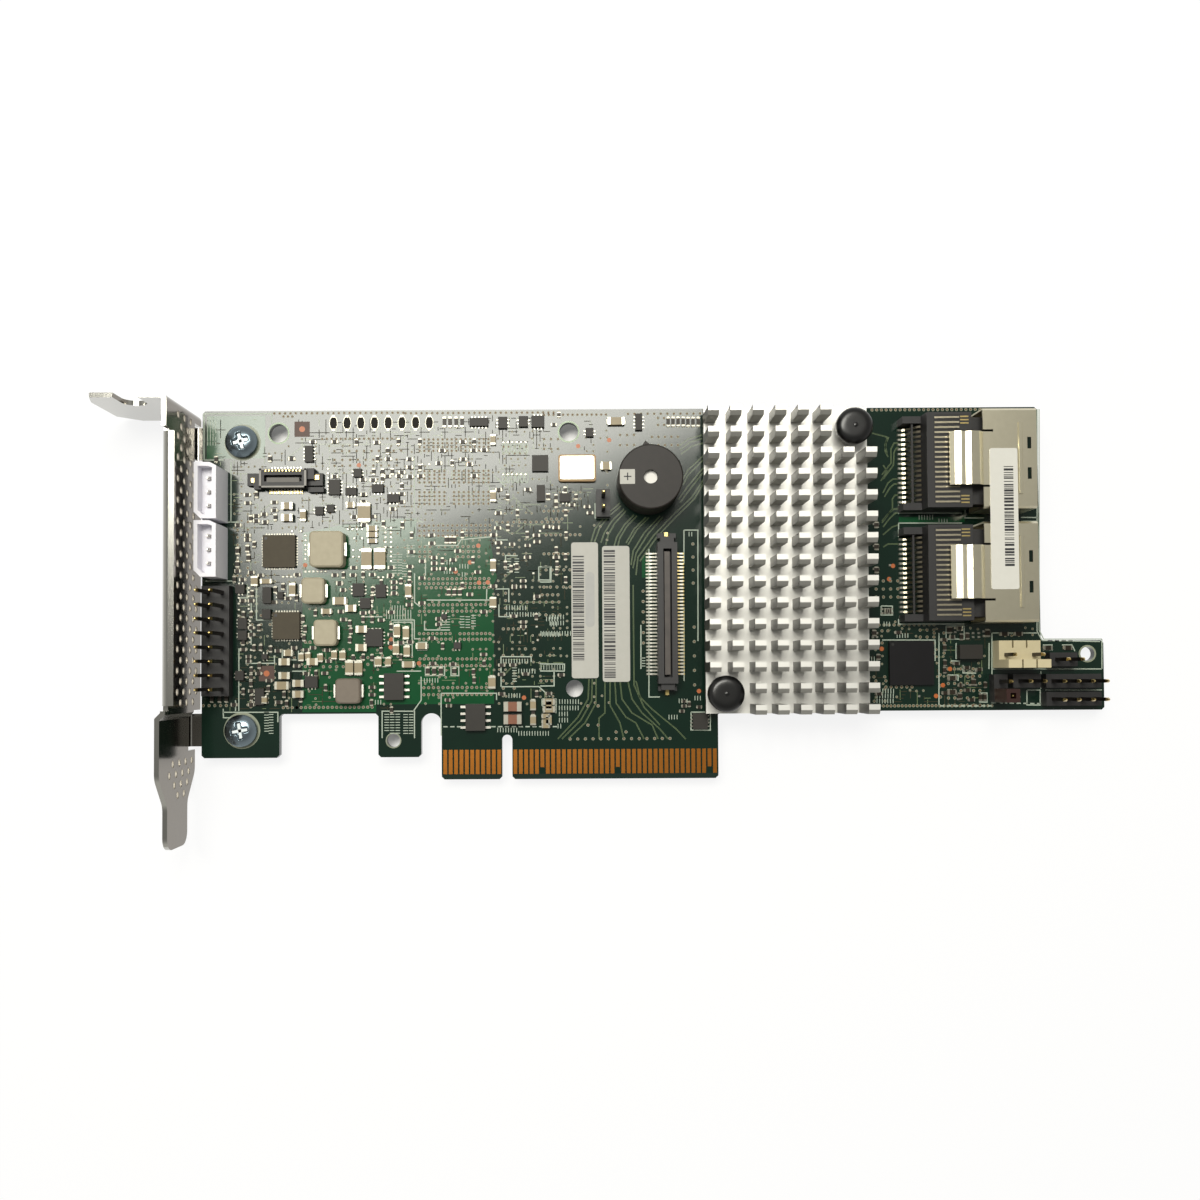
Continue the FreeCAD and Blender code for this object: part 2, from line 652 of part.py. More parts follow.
def bracket_screw(y):
    """Pan-head screw through the board into the bracket's tab, with a cross recess."""
    top = TOP + SCREW_HEAD_HEIGHT
    solid = few_sided((SCREW_X, y), [
        (SCREW_RADIUS, TOP - SCREW_LENGTH),
        (SCREW_RADIUS, TOP),
        (SCREW_HEAD_RADIUS, TOP),
        (SCREW_HEAD_RADIUS, TOP + SCREW_HEAD_HEIGHT * 0.5),
        (SCREW_HEAD_FLAT, top),
    ])
    arms = [block((SCREW_X, y), (RECESS_LENGTH, RECESS_WIDTH, RECESS_DEPTH + 1), top - RECESS_DEPTH),
            block((SCREW_X, y), (RECESS_WIDTH, RECESS_LENGTH, RECESS_DEPTH + 1), top - RECESS_DEPTH)]
    return solid.cut(arms[0].fuse(arms[1])).removeSplitter()


# ---------------------------------------------------------------- controller, heatsink and its pins
def raid_processor():
    """Substrate with a lid on it."""
    lid_low = TOP + PACKAGE_HEIGHT - PACKAGE_LID[2]
    substrate = block(SINK_CENTRE, (PACKAGE_SIZE, PACKAGE_SIZE, PACKAGE_HEIGHT - PACKAGE_LID[2]), TOP)
    return substrate.fuse(block(SINK_CENTRE, PACKAGE_LID, lid_low))


def thermal_pad():
    return block(SINK_CENTRE, (THERMAL_PAD, THERMAL_PAD, PAD_THICK), TOP + PACKAGE_HEIGHT)


def heatsink():
    """Extruded comb of fins, cross-cut into pins that stand on low ridges."""
    corners = [(SINK_BOTTOM, SINK_UNDER, 0)]
    corners.append((SINK_BOTTOM + SINK_WIDTH, SINK_UNDER, 0))
    corners.append((SINK_BOTTOM + SINK_WIDTH, SINK_BASE_TOP, 0))
    fin_top = SINK_BASE_TOP + FIN_HEIGHT
    for row in reversed(range(FIN_ROW_COUNT)):
        front = SINK_BOTTOM + row * FIN_PITCH_Y
        rear = front + FIN_DEPTH
        corners += [(rear, SINK_BASE_TOP, 0), (rear, fin_top, 0), (front, fin_top, 0)]
        if row:
            corners.append((front, SINK_BASE_TOP, 0))
    comb = outline(corners, facing_x(SINK_LEFT)).extrude(V(SINK_LENGTH, 0, 0))
    cuts = []
    for column in range(FIN_COLUMN_COUNT - 1):
        left = SINK_LEFT + column * FIN_PITCH_X + FIN_WIDTH
        cuts.append(box((left, SINK_BOTTOM - 1, SINK_BASE_TOP + FIN_RIDGE),
                        (left + FIN_PITCH_X - FIN_WIDTH, SINK_BOTTOM + SINK_WIDTH + 1, fin_top + 1)))
    right = SINK_LEFT + SINK_LENGTH
    rear = SINK_BOTTOM + SINK_WIDTH
    clear_x = CLEARED_FIN_COUNT * FIN_PITCH_X
    clear_y = CLEARED_FIN_COUNT * FIN_PITCH_Y
    cuts.append(box((right - clear_x, rear - clear_y, SINK_BASE_TOP), (right + 1, rear + 1, fin_top + 1)))
    cuts.append(box((SINK_LEFT - 1, SINK_BOTTOM - 1, SINK_BASE_TOP),
                    (SINK_LEFT + clear_x, SINK_BOTTOM + clear_y, fin_top + 1)))
    for place in PUSH_PINS.values():
        hole = straight(PUSH_PIN_SHAFT + PUSH_PIN_CLEARANCE, SINK_UNDER - 1, SINK_BASE_TOP + 1)
        cuts.append(few_sided(place, hole))
    return comb.cut(group(cuts))


def push_pin(place):
    """Domed nylon pin whose split, barbed tip is snapped through the board."""
    tail = BACK - PUSH_PIN_TAIL
    top = HEAD_UNDER + PUSH_PIN_HEAD_HEIGHT
    barb = PUSH_PIN_SHAFT + PUSH_PIN_BARB
    solid = few_sided(place, [
        (PUSH_PIN_SHAFT * 0.6, tail),
        (barb, tail + PUSH_PIN_TAIL * 0.6),
        (barb, BACK),
        (PUSH_PIN_SHAFT, BACK),
        (PUSH_PIN_SHAFT, HEAD_UNDER),
        (PUSH_PIN_HEAD_RADIUS, HEAD_UNDER),
        (PUSH_PIN_HEAD_RADIUS, top - PUSH_PIN_DOME),
        (PUSH_PIN_HEAD_RADIUS * 0.8, top - PUSH_PIN_DOME * 0.3),
        (PUSH_PIN_HEAD_RADIUS * 0.4, top),
    ])
    slit = block(place, (PUSH_PIN_SLIT, 4 * PUSH_PIN_SHAFT, PUSH_PIN_TAIL + 1), tail - 1)
    return solid.cut(slit).removeSplitter()


# ---------------------------------------------------------------- storage ports
def port_housing(centre):
    """Black block with rear cheeks, an aligning comb and the slotted nose inside the cage."""
    half = PORT_BLOCK_WIDTH / 2
    body = box((PORT_BLOCK_LEFT, centre - half, TOP),
               (PORT_BLOCK_RIGHT, centre + half, TOP + PORT_BLOCK_HEIGHT))
    parts = []
    for side in (-1, 1):
        inner = centre + side * (half - PORT_CHEEK_WIDTH)
        outer = centre + side * half
        parts.append(box((PORT_CHEEK_LEFT, min(inner, outer), TOP),
                         (PORT_BLOCK_LEFT + 1, max(inner, outer), TOP + PORT_CHEEK_HEIGHT)))
    comb_half = half - PORT_CHEEK_WIDTH + PORT_COMB_BITE
    comb_low = TOP + PORT_COMB_HEIGHT
    parts.append(box((PORT_COMB_X, centre - comb_half, comb_low),
                     (PORT_COMB_X + PORT_COMB[0], centre + comb_half, comb_low + PORT_COMB[1])))
    nose_half = PORT_NOSE_WIDTH / 2
    parts.append(box((PORT_BLOCK_RIGHT - 1, centre - nose_half, TOP + PORT_NOSE_LOW),
                     (PORT_NOSE_END, centre + nose_half, TOP + PORT_NOSE_LOW + PORT_NOSE_HEIGHT)))
    body = body.fuse(parts)
    slot_low = TOP + PORT_NOSE_LOW + (PORT_NOSE_HEIGHT - PORT_SLOT_HEIGHT) / 2
    slot_half = nose_half - PORT_SLOT_WALL
    body = body.cut(box((PORT_BLOCK_RIGHT, centre - slot_half, slot_low),
                        (PORT_NOSE_END + 1, centre + slot_half, slot_low + PORT_SLOT_HEIGHT)))
    return body.removeSplitter()


def port_contact_places(centre):
    first = centre - (PORT_CONTACT_COUNT - 1) * PORT_CONTACT_PITCH / 2
    return [first + index * PORT_CONTACT_PITCH for index in range(PORT_CONTACT_COUNT)]


def port_contacts(centre):
    """Formed strips that lie on the block and drop behind the comb to feet on the board."""
    t = PORT_CONTACT_THICK
    shelf = TOP + PORT_BLOCK_HEIGHT
    back = PORT_COMB_X - PORT_CONTACT_GAP
    corners = [
        (PORT_BLOCK_LEFT + PORT_CONTACT_SHELF, shelf, 0),
        (PORT_BLOCK_LEFT + PORT_CONTACT_SHELF, shelf + t, 0),
        (back, shelf + t, 0),
        (PORT_CONTACT_FOOT - t, TOP, 0),
        (PORT_CONTACT_FOOT + t, TOP, 0),
        (back + t, shelf, 0),
    ]
    half = PORT_CONTACT_WIDTH / 2
    strips = [outline(corners, facing_y(y - half)).extrude(V(0, PORT_CONTACT_WIDTH, 0))
              for y in port_contact_places(centre)]
    return group(strips)


def port_cage(centre):
    """Folded sheet tube round the nose, with a waved latch tongue over the block."""
    half = PORT_CAGE_WIDTH / 2
    low = TOP
    high = TOP + PORT_HEIGHT
    s = PORT_SHEET
    outer = outline(clipped(centre - half, low, centre + half, high, PORT_CORNER), facing_x(PORT_CAGE_LEFT))
    inner = outline(rectangle(centre - half + s, low + s, centre + half - s, high - s, 0),
                    facing_x(PORT_CAGE_LEFT - 1))
    length = PORT_MOUTH_X - PORT_CAGE_LEFT
    tube = outer.extrude(V(length, 0, 0)).cut(inner.extrude(V(length + 2, 0, 0)))
    tongue_half = PORT_TONGUE_WIDTH / 2
    cuts = []
    for side in (-1, 1):
        slit = centre + side * (tongue_half + PORT_TONGUE_SLOT / 2)
        cuts.append(box((PORT_CAGE_LEFT - 1, slit - PORT_TONGUE_SLOT / 2, high - 1),
                        (PORT_TONGUE_SLOT_END, slit + PORT_TONGUE_SLOT / 2, high + 1)))
        window = centre + side * PORT_WINDOW_SPACING / 2
        cuts.append(box((PORT_WINDOW[0], window - PORT_WINDOW_LENGTH / 2, high - 1),
                        (PORT_WINDOW[1], window + PORT_WINDOW_LENGTH / 2, high + 1)))
    tube = tube.cut(group(cuts))
    ridge = [
        (PORT_RIDGE[0], high - PORT_SHEET / 2, 0),
        (PORT_RIDGE[1], high - PORT_SHEET / 2, 0),
        (PORT_RIDGE[1] - PORT_RIDGE_SLOPE, high + PORT_RIDGE_RISE, 0),
        (PORT_RIDGE[0] + PORT_RIDGE_SLOPE, high + PORT_RIDGE_RISE, 0),
    ]
    rib = outline(ridge, facing_y(centre - PORT_RIDGE_LENGTH / 2)).extrude(V(0, PORT_RIDGE_LENGTH, 0))
    return tube.fuse([rib, latch_tongue(centre)]).removeSplitter()


def latch_tongue(centre):
    """Strip that leaves the cage roof and waves twice over the block."""
    high = TOP + PORT_HEIGHT
    s = PORT_SHEET
    rise = PORT_TONGUE_RISE
    span = PORT_CAGE_LEFT - PORT_TONGUE_LEFT
    path = [(PORT_TONGUE_LEFT + span * along, high - s + rise * up) for along, up in PORT_TONGUE_WAVES]
    path.append((PORT_CAGE_LEFT + 0.5, high - s))
    corners = [(x, z, 0) for x, z in path] + [(x, z + s, 0) for x, z in reversed(path)]
    start = centre - PORT_TONGUE_WIDTH / 2
    return outline(corners, facing_y(start)).extrude(V(0, PORT_TONGUE_WIDTH, 0))


def port_label():
    """Plain sticker laid over both cages."""
    middle = sum(PORTS.values()) / len(PORTS) + PORT_LABEL_SHIFT
    centre = ((PORT_LABEL[0] + PORT_LABEL[1]) / 2, middle)
    size = (PORT_LABEL[1] - PORT_LABEL[0], PORT_LABEL_LENGTH, LABEL_THICK)
    return block(centre, size, TOP + PORT_HEIGHT)


# ---------------------------------------------------------------- pin headers
def header_strip(pins, height=HEADER_HEIGHT):
    """Moulded strip with one cell round each pin."""
    half = GRID / 2
    low = (min(x for x, y in pins) - half, min(y for x, y in pins) - half, TOP)
    high = (max(x for x, y in pins) + half, max(y for x, y in pins) + half, TOP + height)
    holes = [block(place, (PIN_SIDE, PIN_SIDE, height + 2), TOP - 1) for place in pins]
    return box(low, high).cut(group(holes))


def pins_for(places, tip):
    return [square_pin(place, BACK - TAIL, TOP + tip) for place in places]


def white_header(centre):
    """Open-topped shroud with two bevelled corners."""
    wide, long, tall = WHITE_SIZE
    x, y = centre
    c = WHITE_CORNER
    w = WHITE_WALL
    left = x - wide / 2
    right = x + wide / 2
    low = y - long / 2
    high = y + long / 2
    corners = [(left, low + c, 0), (left + c, low, 0), (right, low, 0), (right, high - c / 2, 0),
               (right - c, high, 0), (left, high, 0)]
    shell = outline(corners, flat(TOP)).extrude(V(0, 0, tall))
    hollow = [(left + w, low + c + w / 2, 0), (left + c + w / 2, low + w, 0), (right - w, low + w, 0),
              (right - w, high - c / 2 - w / 2, 0), (right - c - w / 2, high - w, 0), (left + w, high - w, 0)]
    shell = shell.cut(outline(hollow, flat(TOP + WHITE_FLOOR)).extrude(V(0, 0, tall)))
    pins = [block(place, (PIN_SIDE, PIN_SIDE, tall), TOP - 1) for place in white_pins(centre)]
    return shell.cut(group(pins))


def lock_header():
    """Beige header: low grooved base with a tall segmented locking wall on its lower side."""
    left = LOCK_PINS[0][0] - GRID / 2
    right = left + 3 * GRID
    low = LOCK_PINS[0][1] - LOCK_BELOW_PINS
    base_top = TOP + LOCK_BASE[1]
    wall_top = TOP + LOCK_WALL[1]
    body = box((left, low, TOP), (right, low + LOCK_BASE[0], base_top))
    body = body.fuse(box((left, low, TOP), (right, low + LOCK_WALL[0], wall_top)))
    cuts = []
    half = LOCK_GROOVE / 2
    for index in (1, 2):
        x = left + index * GRID
        cuts.append(box((x - half, LOCK_PINS[0][1] + GRID / 2, base_top - LOCK_GROOVE_DEPTH),
                        (x + half, low + LOCK_BASE[0] + 1, base_top + 1)))
        cuts.append(box((x - half, low - 1, wall_top - LOCK_WALL_GROOVE_DEPTH),
                        (x + half, low + LOCK_WALL[0] + 1, wall_top + 1)))
    for place in LOCK_PINS:
        cuts.append(block(place, (PIN_SIDE, PIN_SIDE, LOCK_BASE[1] + 2), TOP - 1))
    return body.cut(group(cuts)).removeSplitter()


def jumper_cap():
    """Shorting cap parked on one pin, open at its top."""
    low = TOP + HEADER_HEIGHT
    cap = block(OPTION_PAIR[0], CAP_SIZE, low)
    return cap.cut(block(OPTION_PAIR[0], (CAP_HOLE, CAP_HOLE, CAP_SIZE[2] + 2), low - 1))


# ---------------------------------------------------------------- sockets
def mezzanine_socket():
    """Long two-row socket with a moulded post at each end."""
    x, y = MEZZ_CENTRE
    long, tall = MEZZ_SIZE[1:]
    body = block((x, y), MEZZ_SIZE, TOP)
    ends = [block((x, y + side * (long / 2 + MEZZ_POST[1] / 2)), MEZZ_POST, TOP) for side in (-1, 1)]
    body = body.fuse(ends)
    slot = block((x, y), MEZZ_SLOT, TOP + tall - MEZZ_SLOT[2])
    return body.cut(slot)


def contact_feet(centre, half_width, count, pitch, foot, along_y=True):
    """Contact feet (reach, width, thickness) on the board along both long sides of a body."""
    reach, width, thick = foot
    feet = []
    first = -(count - 1) * pitch / 2
    for side in (-1, 1):
        across = side * (half_width + reach / 2)
        for index in range(count):
            along = first + index * pitch
            if along_y:
                feet.append(block((centre[0] + across, centre[1] + along), (reach, width, thick), TOP))
            else:
                feet.append(block((centre[0] + along, centre[1] + across), (width, reach, thick), TOP))
    return feet


def mini_socket():
    x, y = MINI_CENTRE
    body = block((x, y), MINI_SIZE, TOP).fuse(block((x, y), MINI_WING, TOP))
    slot = block((x, y), MINI_SLOT, TOP + MINI_SIZE[2] - MINI_SLOT[2])
    return body.cut(slot).removeSplitter()


# ---------------------------------------------------------------- sounder and timing
def buzzer():
    """Round case on two small feet, with a sound hole and a pointed polarity mark on its rim."""
    x, y = BUZZER_CENTRE
    low = TOP + BUZZER_STAND
    body = post((x, y), BUZZER_RADIUS, low, TOP + BUZZER_HEIGHT)
    feet = [block((x, y + side * BUZZER_FOOT_OUT), (BUZZER_FOOT, BUZZER_FOOT, 2 * BUZZER_STAND), TOP)
            for side in (-1, 1)]
    turn = math.radians(BUZZER_MARK_TURN)
    mark_place = (x + BUZZER_RADIUS * math.cos(turn), y + BUZZER_RADIUS * math.sin(turn))
    mark = outline(polygon_of(mark_place, BUZZER_MARK, 4), flat(low))
    body = body.fuse(feet + [mark.extrude(V(0, 0, BUZZER_HEIGHT - 2 * BUZZER_STAND))])
    top = TOP + BUZZER_HEIGHT
    return body.cut(few_sided((x, y), straight(BUZZER_HOLE_RADIUS, top - BUZZER_HOLE_DEPTH, top + 1)))


def buzzer_pins():
    """Square posts from the case down through the board."""
    low = BACK - TAIL
    return group([block(place, (PIN_SIDE, PIN_SIDE, TOP + BUZZER_STAND - low), low) for place in BUZZER_PINS])


def oscillator_base():
    return block(OSC_CENTRE, (OSC_SIZE[0], OSC_SIZE[1], OSC_BASE_HEIGHT), TOP)


def oscillator_lid():
    size = (OSC_SIZE[0] - 2 * OSC_LID_INSET, OSC_SIZE[1] - 2 * OSC_LID_INSET, OSC_LID_HEIGHT)
    return block(OSC_CENTRE, size, TOP + OSC_BASE_HEIGHT)


# ---------------------------------------------------------------- smaller surface parts
# Each entry: centre (x, y) and size (x, y, z).
INDUCTORS = {
    "power_inductor_large": ((-33.0, 42.7), (6.2, 6.6, 3.0), 0.5),
    "power_inductor_upper": ((-35.6, 35.1), (4.2, 4.8, 2.4), 0.4),
    "power_inductor_lower": ((-33.35, 27.3), (4.2, 4.8, 2.4), 0.4),
    "filter_inductor": ((-29.15, 16.55), (4.6, 4.6, 2.4), 0.6),
}
TERMINAL = (0.9, 2.4)
REGULATORS = {
    "regulator_chip_upper": ((-42.2, 42.55), (6.0, 6.0, 0.9)),
    "regulator_chip_lower": ((-40.85, 28.7), (5.0, 5.0, 0.9)),
}
SMALL_OUTLINE_CHIPS = [(-20.85, 17.3), (-5.8, 11.55)]
SMALL_OUTLINE_SIZE = (3.6, 4.9, 1.4)
SMALL_OUTLINE_LEAD_COUNT = 4
SMALL_OUTLINE_PITCH = 1.27
SMALL_OUTLINE_FOOT = (1.0, 0.42, 0.5)
LOGIC_CHIPS = [((6.35, 58.7), (3.0, 3.0, 0.9)), ((6.45, 53.1), (1.5, 3.0, 1.0)),
               ((-44.4, 34.35), (1.6, 3.0, 1.0)), ((-44.5, 30.85), (1.6, 1.8, 1.0))]
FLASH_CHIP = ((75.0, 21.15), (8.2, 8.1, 1.0))
DIODE = ((85.7, 23.15), (4.2, 2.6, 2.0))
BROWN_CAPACITORS = [(1.1, 13.5), (1.1, 11.15)]
TAN_CAPACITORS = [(-40.65, 50.95), (-40.65, 48.75)]
OUTPUT_CAPACITORS = [(-41.1, 22.0), (-41.1, 19.45), (-35.9, 22.0), (-28.8, 31.85), (-26.85, 27.95),
                     (-26.9, 24.55), (-38.55, 18.0), (-38.55, 16.0)]
LARGE_CHIP = (3.2, 1.7, 1.6)
MEDIUM_CHIP = (2.0, 1.25, 1.2)


def soft_block(centre, size, cut):
    """Moulded body with its vertical corners cut off."""
    x, y = centre
    corners = clipped(x - size[0] / 2, y - size[1] / 2, x + size[0] / 2, y + size[1] / 2, cut)
    return outline(corners, flat(TOP)).extrude(V(0, 0, size[2]))


def inductor_terminals():
    """Folded solder clips on the two ends of each power inductor."""
    clips = []
    for centre, size, _ in INDUCTORS.values():
        for side in (-1, 1):
            x = centre[0] + side * (size[0] / 2 + TERMINAL[0] / 4)
            clips.append(block((x, centre[1]), (TERMINAL[0] / 2, TERMINAL[1], size[2] * 0.6), TOP))
    return group(clips)


def chips(places, size):
    return group([block(place, size, TOP) for place in places])


def memory_chips():
    """Memory packages on the solder side."""
    return group([block(place, MEMORY_SIZE, BACK - MEMORY_SIZE[2]) for place in MEMORY_CENTRES])


def small_outline_leads():
    leads = []
    for centre in SMALL_OUTLINE_CHIPS:
        leads += contact_feet(centre, SMALL_OUTLINE_SIZE[0] / 2, SMALL_OUTLINE_LEAD_COUNT, SMALL_OUTLINE_PITCH,
                              SMALL_OUTLINE_FOOT)
    return group(leads)


def sticker(centre, size):
    return block(centre, (size[0], size[1], LABEL_THICK), TOP)


def make_nodes():
    nodes = {}
    nodes["circuit_board"] = circuit_board()
    nodes["edge_contacts"] = edge_contacts()
    nodes["mounting_bracket"] = mounting_bracket()
    for name, y in SCREWS.items():
        nodes[name] = bracket_screw(y)
    nodes["raid_processor"] = raid_processor()
    nodes["thermal_pad"] = thermal_pad()
    nodes["heatsink"] = heatsink()
    for name, place in PUSH_PINS.items():
        nodes["push_pin_" + name] = push_pin(place)
    for name, centre in PORTS.items():
        nodes["port_housing_" + name] = port_housing(centre)
        nodes["port_cage_" + name] = port_cage(centre)
        nodes["port_contacts_" + name] = port_contacts(centre)
    nodes["port_label"] = port_label()
    nodes["debug_header"] = header_strip(debug_pins())
    nodes["debug_header_pins"] = group(pins_for(debug_pins(), DEBUG_PIN_TIP))
    for name, centre in WHITE_HEADERS.items():
        nodes[name] = white_header(centre)
        nodes[name + "_pins"] = group(pins_for(white_pins(centre), WHITE_PIN_TIP))
    nodes["led_header_upper"] = header_strip(LED_UPPER_ROW)
    nodes["led_header_lower"] = header_strip(LED_LOWER_ROW)
    nodes["led_header_pair"] = header_strip(LED_PAIR)
    nodes["option_header"] = header_strip(OPTION_PAIR)
    nodes["corner_header"] = header_strip(CORNER_PAIR)
    nodes["mode_header"] = header_strip(MODE_PAIR)
    led_pins = LED_UPPER_ROW + LED_LOWER_ROW + LED_PAIR + OPTION_PAIR + CORNER_PAIR + MODE_PAIR
    nodes["header_pins"] = group(pins_for(led_pins, LED_PIN_TIP))
    nodes["jumper_cap"] = jumper_cap()
    nodes["lock_header"] = lock_header()
    nodes["lock_header_pins"] = group(pins_for(LOCK_PINS, LED_PIN_TIP))
    nodes["mezzanine_socket"] = mezzanine_socket()
    nodes["mezzanine_contacts"] = group(contact_feet(MEZZ_CENTRE, MEZZ_SIZE[0] / 2, MEZZ_CONTACT_COUNT,
                                                     MEZZ_PITCH, MEZZ_FOOT))
    nodes["mini_socket"] = mini_socket()
    nodes["mini_socket_contacts"] = group(contact_feet(MINI_CENTRE, MINI_SIZE[1] / 2, MINI_CONTACT_COUNT,
                                                       MINI_PITCH, MINI_FOOT, along_y=False))
    nodes["buzzer"] = buzzer()
    nodes["buzzer_pins"] = buzzer_pins()
    nodes["oscillator_base"] = oscillator_base()
    nodes["oscillator_lid"] = oscillator_lid()
    for name, (centre, size, cut) in INDUCTORS.items():
        nodes[name] = soft_block(centre, size, cut)
    nodes["inductor_terminals"] = inductor_terminals()
    for name, (centre, size) in REGULATORS.items():
        nodes[name] = block(centre, size, TOP)
    nodes["logic_chips"] = group([block(centre, size, TOP) for centre, size in LOGIC_CHIPS])
    nodes["small_outline_chips"] = chips(SMALL_OUTLINE_CHIPS, SMALL_OUTLINE_SIZE)
    nodes["small_outline_leads"] = small_outline_leads()
    nodes["flash_chip"] = block(FLASH_CHIP[0], FLASH_CHIP[1], TOP)
    nodes["surge_diode"] = block(DIODE[0], DIODE[1], TOP)
    nodes["brown_capacitors"] = chips(BROWN_CAPACITORS, LARGE_CHIP)
    nodes["tan_capacitors"] = chips(TAN_CAPACITORS, MEDIUM_CHIP)
    nodes["output_capacitors"] = chips(OUTPUT_CAPACITORS, MEDIUM_CHIP)
    nodes["memory_chips"] = memory_chips()
    nodes["narrow_label"] = sticker(*NARROW_LABEL)
    nodes["wide_label"] = sticker(*WIDE_LABEL)
    return nodes


os.makedirs("parts", exist_ok=True)
for node_name, node_shape in make_nodes().items():
    node_shape.exportStep("parts/" + node_name + ".step")
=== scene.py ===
import bpy
import json
import math
import numpy as np
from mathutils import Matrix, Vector


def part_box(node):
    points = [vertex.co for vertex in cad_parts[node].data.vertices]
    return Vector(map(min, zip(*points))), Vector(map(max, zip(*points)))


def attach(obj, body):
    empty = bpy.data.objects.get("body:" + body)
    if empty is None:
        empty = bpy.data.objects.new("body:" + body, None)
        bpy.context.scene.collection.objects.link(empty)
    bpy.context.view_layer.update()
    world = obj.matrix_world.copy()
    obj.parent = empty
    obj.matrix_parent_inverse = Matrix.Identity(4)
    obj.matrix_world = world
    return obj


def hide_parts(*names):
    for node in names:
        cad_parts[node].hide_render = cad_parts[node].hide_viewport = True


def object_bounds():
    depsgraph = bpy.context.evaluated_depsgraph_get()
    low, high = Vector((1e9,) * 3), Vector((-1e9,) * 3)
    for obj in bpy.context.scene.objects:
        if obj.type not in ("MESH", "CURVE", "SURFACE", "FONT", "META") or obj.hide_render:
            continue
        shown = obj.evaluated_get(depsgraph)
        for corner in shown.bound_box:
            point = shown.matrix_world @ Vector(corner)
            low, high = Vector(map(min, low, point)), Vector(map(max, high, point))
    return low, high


# Dresses the storage controller card.  Lengths are millimetres and become metres in piece(); only
# the studio is written in metres.  Places come from the CAD nodes' boxes, or from the lists below.

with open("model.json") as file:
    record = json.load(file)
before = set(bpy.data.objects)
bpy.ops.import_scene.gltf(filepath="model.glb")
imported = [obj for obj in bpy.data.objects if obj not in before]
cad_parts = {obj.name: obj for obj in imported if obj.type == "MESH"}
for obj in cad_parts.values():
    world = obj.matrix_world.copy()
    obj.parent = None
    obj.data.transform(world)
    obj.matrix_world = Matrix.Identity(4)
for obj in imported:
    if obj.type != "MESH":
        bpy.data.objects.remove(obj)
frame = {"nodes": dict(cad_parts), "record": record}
nodes = frame["nodes"]
record = frame["record"]
cad_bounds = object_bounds()


# ---------------------------------------------------------------- shapes
# The two faces of the 1.57 mm board, with the board's middle at z = 0.
BOARD_TOP = 0.785
BOARD_BACK = -0.785


def span(name):
    """Lowest and highest corner of a CAD node, in millimetres."""
    low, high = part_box(name)
    return np.array(low) * 1000, np.array(high) * 1000


def centre_of(name):
    """Middle and half sizes of a CAD node, in millimetres."""
    low, high = span(name)
    return (low + high) / 2, (high - low) / 2


def merged(parts):
    """Joins (points, faces) pairs into one pair, shifting each face's indices."""
    points = []
    faces = []
    start = 0
    for part_points, part_faces in parts:
        points.append(np.asarray(part_points, float).reshape(-1, 3))
        faces += [[int(i) + start for i in face] for face in part_faces]
        start += len(points[-1])
    return np.concatenate(points), faces


def piece(name, shape, material, stands_for=(), smooth=False):
    """Makes one object of (points, faces) in millimetres that rides on the card."""
    points, faces = shape
    metres = np.asarray(points, float) * 0.001
    mesh = bpy.data.meshes.new(name)
    mesh.from_pydata(metres.tolist(), [], [list(map(int, face)) for face in faces])
    mesh.validate()
    mesh.materials.append(material)
    if smooth:
        mesh.shade_smooth()
    else:
        mesh.shade_flat()
    made = bpy.data.objects.new(name, mesh)
    bpy.context.scene.collection.objects.link(made)
    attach(made, "root")
    if stands_for:
        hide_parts(*stands_for)
    return made


BLOCK_FACES = np.array([[0, 3, 2, 1], [4, 5, 6, 7], [0, 1, 5, 4],
                        [1, 2, 6, 5], [2, 3, 7, 6], [3, 0, 4, 7]])
CORNERS = np.array([[-0.5, -0.5], [0.5, -0.5], [0.5, 0.5], [-0.5, 0.5]])


def frustums(centres, size, low, high, top_scale=1.0):
    """Blocks with a rectangular foot at z = low and the same rectangle times top_scale at z = high.

    Corner k of block i is centre_i + corner_k * size_i at both levels."""
    centres = np.asarray(centres, float).reshape(-1, 2)
    count = len(centres)
    sizes = np.broadcast_to(np.asarray(size, float), (count, 2))
    foot = CORNERS[None] * sizes[:, None, :]
    points = np.zeros((count, 8, 3))
    points[:, :4, :2] = centres[:, None, :] + foot
    points[:, 4:, :2] = centres[:, None, :] + foot * top_scale
    points[:, :4, 2] = np.broadcast_to(np.asarray(low, float), (count,))[:, None]
    points[:, 4:, 2] = np.broadcast_to(np.asarray(high, float), (count,))[:, None]
    return points.reshape(-1, 3), block_faces(count)


def block_faces(count):
    """Six quads for each of a number of eight-cornered blocks."""
    return (BLOCK_FACES[None] + np.arange(count)[:, None, None] * 8).reshape(-1, 4)


def blocks(rows):
    """Plain boxes from rows of (x0, y0, z0, x1, y1, z1)."""
    rows = np.asarray(rows, float).reshape(-1, 6)
    centres = (rows[:, 0:2] + rows[:, 3:5]) / 2
    return frustums(centres, rows[:, 3:5] - rows[:, 0:2], rows[:, 2], rows[:, 5])


def upright_row(x, y):
    """Points that stand one behind the other: the same x for every y."""
    return np.column_stack([np.full(len(y), float(x)), y])


def level_row(x, y):
    """Points that lie side by side: the same y for every x."""
    return np.column_stack([x, np.full(len(x), float(y))])


def grid_faces(rings, around, closed=True):
    """Quads between rings of points that follow each other; each ring closes on itself if asked."""
    last = around if closed else around - 1
    ring, step = np.meshgrid(np.arange(rings - 1), np.arange(last), indexing="ij")
    after = (step + 1) % around
    return np.stack([ring * around + step, ring * around + after,
                     (ring + 1) * around + after, (ring + 1) * around + step], -1).reshape(-1, 4)


